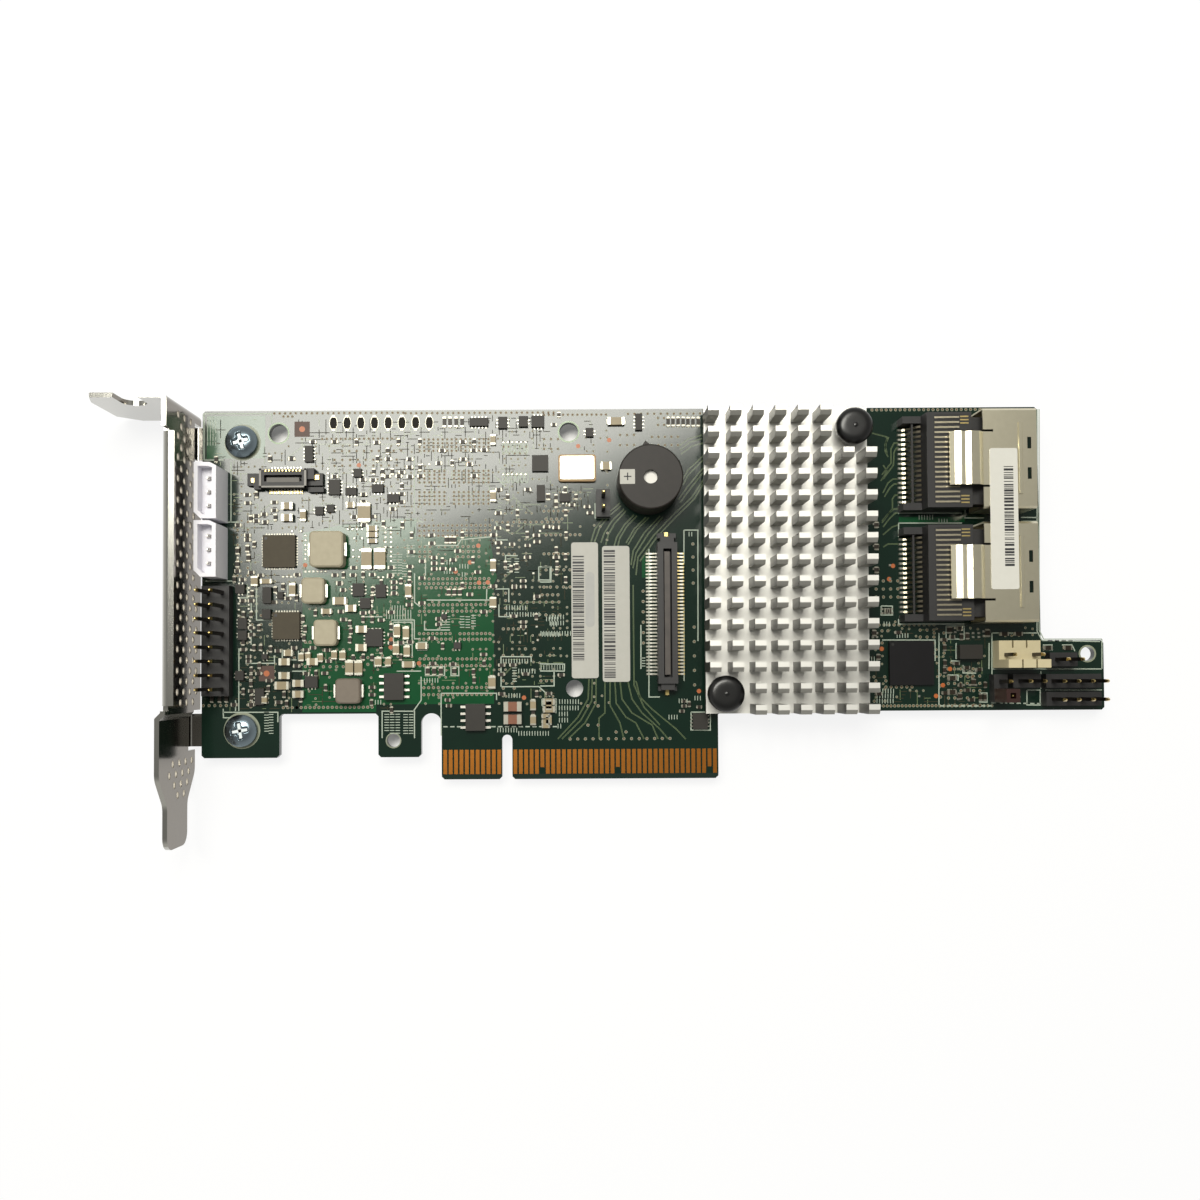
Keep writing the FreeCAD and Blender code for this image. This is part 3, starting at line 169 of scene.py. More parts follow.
def turned(centre, profile, sides=32, squash=(1, 1)):
    """Lathe shape about a vertical axis: point(u, v) = centre + radius(v) * (cos u, sin u), z(v)."""
    profile = np.asarray(profile, float)
    angle = np.arange(sides) * 2 * math.pi / sides
    x = centre[0] + np.outer(profile[:, 0], np.cos(angle)) * squash[0]
    y = centre[1] + np.outer(profile[:, 0], np.sin(angle)) * squash[1]
    z = np.repeat(profile[:, 1][:, None], sides, 1)
    points = np.stack([x, y, z], -1).reshape(-1, 3)
    faces = grid_faces(len(profile), sides).tolist()
    faces.append(list(range(sides))[::-1])
    faces.append([(len(profile) - 1) * sides + i for i in range(sides)])
    return points, faces


def discs(centres, radius, z, sides=10, inner=0.0):
    """Flat discs at height z, or rings where inner is given: centre + radius * (cos u, sin u)."""
    centres = np.asarray(centres, float).reshape(-1, 2)
    count = len(centres)
    angle = (np.arange(sides) + 0.5) * 2 * math.pi / sides
    unit = np.stack([np.cos(angle), np.sin(angle)], -1)
    outer = centres[:, None, :] + unit[None] * radius
    height = np.full((count, sides, 1), z)
    if inner <= 0:
        points = np.concatenate([outer, height], -1)
        faces = np.arange(count * sides).reshape(count, sides)
        return points.reshape(-1, 3), faces
    inside = centres[:, None, :] + unit[None] * inner
    rings = [np.concatenate([ring, height], -1) for ring in (inside, outer)]
    points = np.concatenate(rings, 1)
    step = np.arange(sides)
    after = (step + 1) % sides
    quad = np.stack([step, step + sides, after + sides, after], -1)
    faces = (quad[None] + np.arange(count)[:, None, None] * 2 * sides).reshape(-1, 4)
    return points.reshape(-1, 3), faces


def ribbon(path, width, z):
    """Flat strip along a run of corners: each corner is pushed out both ways along its mitre."""
    path = np.asarray(path, float)
    along = np.diff(path, axis=0)
    along /= np.linalg.norm(along, axis=1)[:, None]
    before = np.vstack([along[:1], along])
    after = np.vstack([along, along[-1:]])
    middle = before + after
    middle /= np.linalg.norm(middle, axis=1)[:, None]
    side = np.stack([-middle[:, 1], middle[:, 0]], -1)
    reach = width / 2 / np.maximum((middle * after).sum(1), 0.4)
    left = path + side * reach[:, None]
    right = path - side * reach[:, None]
    count = len(path)
    points = np.zeros((count * 2, 3))
    points[:count, :2] = right
    points[count:, :2] = left
    points[:, 2] = z
    step = np.arange(count - 1)
    return points, np.stack([step, step + 1, step + 1 + count, step + count], -1)


def ribbons(paths, width, z):
    """Flat strips along several runs of corners."""
    return merged([ribbon(path, width, z) for path in paths])


def polygon_plate(corners, low, high):
    """Flat plate: a run of corners at two levels, joined by walls."""
    corners = np.asarray(corners, float)
    count = len(corners)
    points = np.vstack([np.column_stack([corners, np.full(count, low)]),
                        np.column_stack([corners, np.full(count, high)])])
    faces = grid_faces(2, count).tolist()
    faces.append(list(range(count))[::-1])
    faces.append(list(range(count, 2 * count)))
    return points, faces


def rounded_plate(x0, y0, x1, y1, radius, low, high, steps=6):
    """Plate with four round corners: each corner point = corner centre + radius * (cos t, sin t)."""
    quarter = np.linspace(0, math.pi / 2, steps)
    middles = ((x1 - radius, y1 - radius), (x0 + radius, y1 - radius),
               (x0 + radius, y0 + radius), (x1 - radius, y0 + radius))
    corners = []
    for turn, (x, y) in enumerate(middles):
        angle = quarter + turn * math.pi / 2
        corners.append(np.column_stack([x + radius * np.cos(angle), y + radius * np.sin(angle)]))
    return polygon_plate(np.concatenate(corners), low, high)


def wire(path, radius, sides=8):
    """Round wire: rings of the given radius across the path's direction."""
    path = np.asarray(path, float)
    along = np.gradient(path, axis=0)
    along /= np.linalg.norm(along, axis=1)[:, None]
    up = np.array([0.03, 0.02, 1.0])
    side = np.cross(along, up)
    side /= np.linalg.norm(side, axis=1)[:, None]
    rise = np.cross(side, along)
    angle = np.arange(sides) * 2 * math.pi / sides
    circle = (np.cos(angle)[None, :, None] * side[:, None, :]
              + np.sin(angle)[None, :, None] * rise[:, None, :])
    points = path[:, None, :] + radius * circle
    faces = grid_faces(len(path), sides)[:, ::-1].tolist()
    faces.append(list(range(sides)))
    faces.append([(len(path) - 1) * sides + i for i in range(sides)][::-1])
    return points.reshape(-1, 3), faces


def slanted(rows, width, thickness=0.18):
    """Flat strips that climb from (x0, z0) to (x1, z1) along lines y: four corners below and above."""
    x0, x1, y, z0, z1 = np.asarray(rows, float).T
    points = np.zeros((len(rows), 8, 3))
    half = width / 2
    for index, (x, side, z) in enumerate(((x0, -half, z0), (x1, -half, z1), (x1, half, z1), (x0, half, z0))):
        points[:, index] = np.column_stack([x, y + side, z])
        points[:, index + 4] = np.column_stack([x, y + side, z + thickness])
    return points.reshape(-1, 3), block_faces(len(rows))


# ---------------------------------------------------------------- places of the small parts
# Small parts are rows of (x, y, width, depth); dots and pads are grids of (first corner, last corner,
# number across, number up); printed lines and tracks are runs of corners.
# Small dark packages.
DARK_CHIPS = [
    (-36.7, 60.7, 1.7, 3.35), (-35.2, 57.5, 2.15, 1.9), (-31.95, 54.45, 2.4, 3.15), (-28.85, 53.65, 2.3, 1.55),
    (-23.9, 54.2, 2.4, 1.7), (-21, 52.35, 2.5, 1.7), (-27.65, 57.1, 1.7, 1.7), (-5.05, 66.5, 3.85, 1.7),
    (-0.6, 66.35, 1.9, 2.4), (3.25, 66.55, 1.9, 2.2), (5.95, 66.55, 2.65, 2.4), (6.2, 58.9, 3.45, 3.45),
    (6.5, 53.4, 2.4, 3.6), (-27.5, 35.3, 2.4, 2.65), (-23.35, 35.05, 2.15, 2.65), (-26.25, 32.8, 2.15, 2.15),
    (-24.6, 26.4, 3.6, 3.6), (-36.2, 18.25, 2.65, 2.4), (-45.8, 15.55, 1.85, 3.35), (-49.45, 35.6, 1.9, 1.85),
    (-49, 29.2, 1.85, 2.4), (-49, 26.95, 1.85, 1.9), (-49.5, 19.5, 1.75, 1.9), (-42, 34.35, 1.25, 1.45),
    (-44.85, 23, 1.2, 1.05), (15.6, 64.45, 1.65, 1.8), (24.8, 66.35, 1.45, 3.45), (10.9, 52.3, 2.15, 1.8),
    (35.8, 10.6, 3.05, 3.25), (-11.6, 30.25, 1.15, 1.05), (-34.75, 50.05, 1.7, 1.7), (-32.7, 50.5, 1.55, 1.55),
    (-9.15, 24.85, 1.45, 1.35),
]

# Small tan capacitors.
TAN_CHIPS = [
    (-37.75, 49.2, 1.05, 2), (-26.4, 49.7, 2.3, 3.45), (-24.9, 46.7, 1.9, 0.95), (-24.9, 45.55, 1.9, 0.95),
    (-24.9, 44.35, 1.75, 0.75), (-25.95, 41.05, 1.9, 3.75), (-23.5, 41.05, 2.1, 3.75),
    (-44.6, 36.95, 2.15, 0.85), (-39.7, 35.35, 1.15, 2.4), (-30.95, 33.25, 2.5, 1.35),
    (-33.4, 31.3, 1.9, 0.95), (-18.2, 35.05, 1.15, 2.4), (-20.3, 27.6, 1.15, 2.3), (-18.65, 27.2, 1.15, 2.3),
    (-20.5, 24.15, 1.15, 1.9), (-18.5, 23.85, 1.15, 2), (-15.75, 24.8, 2.1, 1.15), (-18.2, 21.4, 2.3, 1.15),
    (-40.45, 23.65, 1.65, 1.15), (-29.15, 20.85, 1.45, 2.65), (-27.45, 20.8, 1.45, 2.65),
    (-41.65, 19.35, 2.6, 1.45), (-41.65, 17.6, 2.6, 1.45), (-2.45, 39.7, 1.05, 2.15), (-2.4, 52.6, 1.05, 2),
    (-2.4, 63.15, 0.95, 1.85), (-2.75, 18, 1.35, 2.3), (-2.5, 32.8, 1.25, 1.9), (4.85, 13.75, 1.05, 1.9),
    (7.75, 13.75, 1.05, 1.9), (4.85, 10.95, 1.05, 1.75), (7.75, 10.95, 1.05, 1.75), (-42, 41.2, 0.75, 1.45),
    (-28.95, 51.1, 1.55, 1.05), (-23.8, 21.9, 1.25, 1.65), (-21.95, 21.9, 1.05, 1.65), (20.55, 66.5, 3.1, 1.4),
    (18.65, 58.15, 1.9, 1.45), (7.8, 14.35, 2.15, 1.15), (7.8, 12.95, 2.15, 1.15), (7.2, 11.7, 1.45, 0.85),
    (7.2, 10.65, 1.45, 0.85), (7.2, 9.85, 1.45, 0.7), (-44.85, 14.95, 0.95, 1.25), (-46.75, 37, 1.25, 1.75),
    (-30.4, 23.1, 1.15, 1.65), (-31.95, 23.2, 1.05, 1.55), (-34.55, 22.7, 1.05, 1.45),
    (-35.55, 22.7, 0.95, 1.45), (-36.8, 22.95, 0.95, 1.45), (-38.05, 22.85, 0.95, 1.45),
]

# Little resistors and capacitors that can be told apart.
SMALL_CHIPS = [
    (-46.55, 48.25, 1.15, 0.65), (-46.55, 49.2, 1.15, 0.65), (-45.1, 49.5, 1.15, 0.65),
    (-47.6, 48.7, 0.65, 1.15), (-44.9, 48.05, 1.05, 0.65), (-50.05, 42.7, 0.75, 1.25),
    (-48.2, 43.1, 0.75, 1.25), (-48, 41.4, 0.75, 1.25), (-48.2, 45.6, 1.15, 0.65), (-50.05, 40.2, 0.75, 1.15),
    (-50.05, 38.95, 1.05, 0.65), (-48.2, 44.75, 1.15, 0.65), (-46.95, 43.9, 0.65, 1.05),
    (-45.7, 38.1, 1.05, 0.65), (-43, 35.4, 0.65, 1.15), (-44.25, 33.95, 1.05, 0.65), (-43.2, 33.1, 1.05, 0.65),
    (-41.55, 36, 0.65, 1.15), (-37.45, 34.95, 1.05, 0.65), (-31.05, 36.55, 1.15, 0.75),
    (-30.4, 35.3, 1.05, 0.65), (-30.8, 31.3, 1.05, 0.65), (-28.95, 31.3, 0.95, 0.65),
    (-20.9, 36.7, 1.05, 0.65), (-20.9, 35.7, 1.05, 0.65), (-20.9, 34.65, 1.05, 0.65),
    (-19.65, 36.9, 0.65, 1.05), (-37.85, 29.95, 0.65, 1.25), (-37.45, 28.1, 0.65, 1.25),
    (-37.65, 26.45, 0.65, 1.25), (-29.15, 29.1, 0.65, 1.15), (-28.95, 27.65, 0.65, 1.15),
    (-29.15, 26, 0.65, 1.15), (-36, 24.6, 1.05, 0.65), (-39.5, 24.6, 1.05, 0.65), (-46.95, 24.65, 0.65, 1.15),
    (-45.7, 24.65, 0.65, 1.15), (-43.85, 24.4, 0.65, 1.15), (-47.95, 23, 0.95, 0.65),
    (-47.95, 22.15, 0.95, 0.65), (-33.3, 24.15, 1.05, 0.65), (-33.1, 22.1, 1.05, 0.65),
    (-10.5, 44.55, 0.75, 1.25), (-11.15, 44.55, 0.75, 1.25), (-9.7, 44.55, 0.75, 1.25),
    (-13.45, 41.25, 1.05, 0.65), (-13.45, 40.2, 1.05, 0.65), (-13.45, 39.15, 1.05, 0.65),
    (-9.1, 42.45, 1.05, 0.65), (-5.35, 38.5, 1.05, 0.65), (-10.75, 34.8, 0.75, 1.15), (-9.7, 34.8, 0.75, 1.15),
    (-8.7, 34.8, 0.75, 1.15), (-12.65, 29.85, 1.05, 0.65), (-12.65, 28.8, 1.05, 0.65),
    (-6.85, 34.35, 1.05, 0.65), (-14.7, 20.15, 0.75, 1.45), (-13.5, 20.1, 0.75, 1.45),
    (-12.25, 20.1, 0.75, 1.45), (-9.75, 20.1, 0.75, 1.25), (-39.5, 15.75, 0.65, 1.25),
    (-38.25, 15.1, 0.65, 1.15), (-54.75, 15.2, 0.65, 1.35), (-53.3, 15.2, 0.65, 1.35),
    (-52.05, 15.2, 0.65, 1.35), (-42.35, 14.5, 1.25, 0.65), (-41.35, 15.95, 0.65, 1.15),
    (-11.5, 66.6, 0.65, 1.9), (-10.45, 66.6, 0.65, 1.9), (-9.3, 66.6, 0.65, 1.9), (-8.2, 66.6, 0.65, 1.9),
    (-12.55, 58.9, 1.05, 0.65), (-10.05, 58.9, 0.65, 1.05), (-6.75, 58.65, 1.05, 0.65),
    (-0.2, 39.9, 0.65, 1.15), (0.85, 39.1, 0.65, 1.15), (1.9, 39.5, 0.65, 1.15), (1.45, 35.75, 0.85, 0.85),
    (3.1, 36.8, 1.05, 0.6), (3.1, 35.75, 1.05, 0.6), (3.1, 29.15, 1.05, 0.6), (3.1, 28.3, 1.05, 0.6),
    (1.05, 43.65, 0.95, 0.6), (3.95, 43.4, 0.95, 0.6), (-11, 14.75, 0.95, 0.65), (-10.8, 13.7, 0.95, 0.65),
    (4.85, 12.4, 0.65, 0.95), (30.3, 66.45, 0.6, 1.75), (31.2, 66.45, 0.6, 1.75), (32.15, 66.45, 0.6, 1.75),
    (33.1, 66.45, 0.6, 1.75), (34, 66.4, 0.6, 1.75), (34.95, 66.4, 0.6, 1.75), (35.9, 66.4, 0.6, 1.75),
    (15.05, 50.6, 1.05, 0.6), (15.6, 49.45, 1.05, 0.6), (18.65, 57.7, 0.6, 0.85), (8.95, 66, 0.95, 0.6),
    (9.9, 67.85, 0.6, 0.95), (7.8, 52.5, 0.8, 1.15), (13, 52.45, 0.6, 0.95), (12.25, 50.95, 1.05, 0.6),
    (32.85, 14.3, 0.85, 0.6), (32.85, 13.4, 0.85, 0.6), (33.8, 13.75, 0.6, 0.95), (35.65, 13.2, 0.85, 0.6),
    (32.45, 12.45, 0.85, 0.6), (82.3, 27.25, 0.95, 1.15), (84.15, 27.55, 0.95, 0.6), (82.8, 25.95, 0.95, 0.7),
    (84.5, 25.95, 0.7, 1.15), (85.6, 26.1, 0.7, 1.15), (89.35, 26.65, 0.85, 1.3), (92.5, 26.45, 1.55, 0.7),
    (95.1, 26.45, 1.55, 0.7), (70.8, 30.85, 0.85, 0.6), (71.15, 30.85, 0.85, 0.6), (68.95, 46.9, 0.85, 1.05),
    (68.9, 42.8, 0.85, 1.05), (68.85, 38.5, 0.85, 1.05), (68.3, 26.75, 0.8, 1.05), (69, 22.3, 0.8, 0.95),
    (82.7, 18.3, 1.55, 0.8), (82.65, 15.7, 1.55, 0.8), (84.05, 14.95, 0.8, 1.15), (85.45, 16.05, 1.15, 0.6),
    (86.6, 17.55, 0.85, 1.15), (87.85, 14.75, 0.6, 1.3), (88.7, 14.75, 0.6, 1.3), (83.5, 21, 1.15, 0.6),
    (85.4, 20.25, 1.15, 0.6), (100.55, 23.85, 1.55, 0.85), (104.25, 23.85, 1.55, 0.85), (88.8, 17, 0.6, 1.05),
    (84.15, 17, 0.7, 0.7),
]

# Plated holes.
BROWN_VIAS = [
    (-16.15, 63.4, -3.3, 61.25, 16, 4), (-16.2, 57.45, -11.55, 55.35, 6, 4), (-9.75, 57.45, -3.3, 55.3, 8, 4),
    (-16.2, 53.5, -11.55, 51.3, 6, 4), (-9.75, 53.5, -3.35, 51.3, 8, 4), (-16.2, 47.25, -3.05, 45.35, 16, 3),
    (-16.2, 43.3, -14.25, 41.45, 3, 3), (-9.1, 43.3, -5.15, 41.4, 5, 3), (-16.15, 37.3, -3.3, 36.4, 16, 2),
    (-14.9, 35.65, -3.3, 35.6, 14, 1), (-16.2, 32.45, -3.1, 31.25, 16, 2), (-16.25, 27.1, -10.55, 26.05, 8, 2),
    (-8.7, 27.05, -3.15, 26, 8, 2), (-16.15, 22.4, -10.6, 21.15, 8, 2), (-9.15, 22.35, -3.15, 21.1, 8, 2),
    (-15.45, 17.05, -2.95, 15.75, 15, 2), (-34.35, 63.6, -20.45, 63.55, 17, 1),
    (-39.05, 13.5, -25.05, 13.4, 18, 1), (-41.55, 13.5, -39.05, 13.5, 4, 1), (-18.75, 68.35, 9.9, 68.2, 30, 1),
    (-43.3, 68.45, -19.2, 68.35, 25, 1), (-41.6, 67.85, -39.95, 67.8, 3, 1), (-0.6, 41.8, 1.5, 41.8, 3, 1),
    (-0.2, 40.55, -0.2, 37.85, 1, 3), (-0.2, 34.55, -0.2, 30.4, 1, 4), (-0.65, 27.9, 3.1, 27.9, 5, 1),
    (1.45, 32.85, 9.7, 32.8, 8, 1), (-0.7, 19.65, 1.35, 15.5, 2, 4), (7.4, 45.4, 13.7, 45.35, 8, 1),
    (7, 41.85, 11.45, 41.8, 6, 1), (7.35, 38.85, 11.8, 38.8, 5, 1), (6.95, 35.65, 11.8, 35.65, 5, 1),
    (6.6, 34.2, 9.55, 34.15, 4, 1), (7.3, 30.45, 9.9, 30.45, 3, 1), (6.3, 18.2, 8.35, 18.15, 3, 1),
    (11.65, 7.4, 30.2, 7.3, 14, 1), (20.2, 8.65, 22.05, 8.65, 2, 1), (15, 9.95, 16.9, 13.5, 2, 2),
    (25.4, 34.8, 25.5, 25.15, 1, 6), (34.75, 43.55, 34.9, 36.25, 1, 4), (34.85, 28.05, 34.95, 17.3, 1, 5),
    (7, 49.85, 11.5, 49.85, 6, 1), (7.4, 48.35, 10.35, 48.35, 4, 1), (7.1, 67.9, 18.7, 67.65, 14, 1),
    (22.8, 68, 36.3, 67.9, 12, 1), (28.4, 67.2, 29.55, 65.9, 2, 2), (21.3, 64.05, 23.9, 62.15, 3, 2),
    (7.1, 63.35, 9.7, 61.5, 3, 2), (27.25, 63.65, 32.1, 62.1, 5, 2), (68.5, 13.2, 79.65, 13.15, 17, 1),
    (80.4, 13.15, 90.05, 13.1, 14, 1), (68.45, 68.5, 88.65, 68.65, 24, 1), (68.35, 28.25, 79.5, 28.2, 13, 1),
    (69.8, 27.15, 70.9, 24.9, 2, 2), (68.8, 36.45, 72.85, 33.45, 4, 3), (79.5, 26.7, 81.3, 22.95, 2, 3),
    (82, 20, 87.85, 13.25, 6, 6), (68.55, 17.85, 70.4, 17.1, 2, 1), (76.9, 27.25, 79.45, 25.95, 3, 2),
    (68.2, 18.6, 70.2, 14.1, 2, 3), (85.7, 19.25, 86.45, 18.5, 2, 2), (80.5, 18.9, 81, 14.8, 1, 3),
    (70.4, 16.7, 75.25, 16.3, 6, 1), (-56.4, 13.95, -51.05, 13.95, 6, 1), (-0.5, 61.95, 3.65, 60.7, 5, 2),
    (-1.8, 47.8, 9.8, 47.35, 12, 1), (-32.05, 59.65, -20.45, 58.55, 9, 2), (-32.05, 61.3, -19.6, 61.25, 10, 1),
    (-50.1, 48.1, -48.2, 38.1, 2, 8), (-47.35, 30.65, -44.05, 28.95, 3, 2),
    (-46.55, 35.6, -44.85, 31.45, 2, 4), (-47.55, 16.6, -47.3, 13.7, 1, 4), (-39.5, 22.75, -39.1, 21.1, 1, 2),
    (-34.1, 24.15, -30.4, 21.05, 4, 3), (-23.15, 25.15, -22.55, 23.05, 1, 2),
    (-37.45, 25.65, -36.6, 21.1, 2, 3), (-28.35, 22.7, -25.85, 21.45, 3, 2), (-0.65, 22.95, 8, 22.7, 6, 1),
    (3.45, 24.15, 5.1, 23.95, 2, 1),
]

# Solder pads.
WHITE_PADS = [
    (-29.6, 46.65, -26.9, 46.6, 4, 1), (-28.35, 44.95, -26.9, 44.95, 2, 1),
    (-28.55, 42.75, -27.3, 42.75, 2, 1), (-28.55, 41.5, -27.5, 41.5, 2, 1),
    (-22.55, 46.9, -22.55, 40.65, 1, 8), (-21.5, 46.9, -21.5, 40.65, 1, 8), (-37.45, 38.8, -33.7, 38.75, 6, 1),
    (-41.6, 37.85, -39.3, 37.85, 4, 1), (-23.85, 37.65, -21.3, 37.65, 4, 1),
    (-37.45, 45.5, -37.45, 41.15, 1, 6), (-48, 35.8, -48, 31.9, 1, 6), (-47.75, 29.6, -47.75, 25.7, 1, 6),
    (-48.6, 24.25, -47.55, 24.25, 2, 1), (-47.25, 16.8, -47.25, 14.55, 1, 4), (-44.5, 16.8, -44.5, 14.5, 1, 4),
    (-26.45, 35.9, -26.5, 34.45, 1, 3), (-22.35, 35.9, -22.35, 34.45, 1, 3), (-25.05, 33, -25.05, 32.2, 1, 2),
    (-23.15, 27.2, -23.15, 25.15, 1, 3), (-25.65, 28.05, -23.6, 28.05, 4, 1), (-33.3, 58, -33.3, 56.3, 1, 3),
    (-0.5, 62.8, 3.65, 62.8, 6, 1), (-0.55, 56.75, 3.6, 56.75, 6, 1), (-39.95, 46.35, -38.3, 45.95, 2, 1),
    (-15.7, 58.7, -13, 58.7, 3, 1), (-50.05, 43.3, -50.05, 41.45, 1, 3), (-49.85, 33.95, -49.85, 30.65, 1, 4),
    (35.05, 11.7, 35.05, 9.85, 1, 2), (37.1, 10.6, 37.15, 10.55, 1, 1), (6.25, 46.15, 6.25, 46.1, 1, 1),
    (1.45, 39.9, 2.1, 39.9, 2, 1), (5, 38.25, 5, 38.2, 1, 1), (5.15, 33.45, 5.2, 33.4, 1, 1),
    (5.55, 28.3, 5.6, 28.25, 1, 1), (3.5, 27.05, 3.55, 27, 1, 1), (5.75, 25.8, 5.8, 25.75, 1, 1),
    (82.15, 18.7, 83.25, 17.95, 2, 2), (82.1, 16.1, 83.2, 15.35, 2, 2), (83.8, 15.25, 84.2, 14.4, 1, 2),
    (86.75, 26.65, 87.85, 25.9, 2, 2), (88.8, 26.95, 89.7, 26.1, 2, 2), (69.85, 31.2, 71.7, 30.45, 4, 2),
    (68.1, 26.75, 68.85, 26, 2, 2), (76.55, 15, 76.55, 14.95, 1, 1), (82.3, 27.6, 83.4, 26.85, 2, 2),
    (83.95, 27.8, 84.7, 27.25, 2, 2), (84.95, 19.6, 87.2, 19.4, 3, 1), (84.9, 17, 87.15, 16.8, 3, 1),
    (71.45, 39.4, 71.5, 36.8, 1, 2), (68.55, 47.1, 69.3, 46.75, 2, 1), (68.5, 43, 69.25, 42.6, 2, 1),
    (68.45, 38.7, 69.2, 38.3, 2, 1),
]

# Test points, each a grid of one.
ORANGE_DOTS = [
    (-37.5, 40, -37.5, 39.95, 1, 1), (-36, 21.7, -35.95, 21.65, 1, 1), (-21.5, 26.05, -21.5, 26, 1, 1),
    (-21.6, 24.6, -21.55, 24.55, 1, 1), (-7.05, 58.75, -7, 58.7, 1, 1), (-27.5, 58.65, -27.45, 58.6, 1, 1),
    (-5.25, 43.45, -5.2, 43.45, 1, 1), (-6.8, 40.35, -6.75, 40.35, 1, 1), (-9.5, 38.65, -9.45, 38.6, 1, 1),
    (-3.5, 36.6, -3.45, 36.6, 1, 1), (-5.15, 36.55, -5.1, 36.5, 1, 1), (-16.35, 21.6, -16.3, 21.55, 1, 1),
    (3.15, 15.1, 3.2, 15.05, 1, 1), (35.65, 16.15, 35.7, 16.1, 1, 1), (13.45, 62, 13.45, 62, 1, 1),
    (19.25, 63.1, 19.25, 63.1, 1, 1), (82.35, 20, 82.4, 19.95, 1, 1), (81, 17, 81.05, 17, 1, 1),
    (79.7, 15, 79.7, 14.95, 1, 1), (69.7, 23.8, 69.7, 23.75, 1, 1), (72, 39.25, 72.05, 39.2, 1, 1),
    (71.25, 36.8, 71.25, 36.75, 1, 1),
]

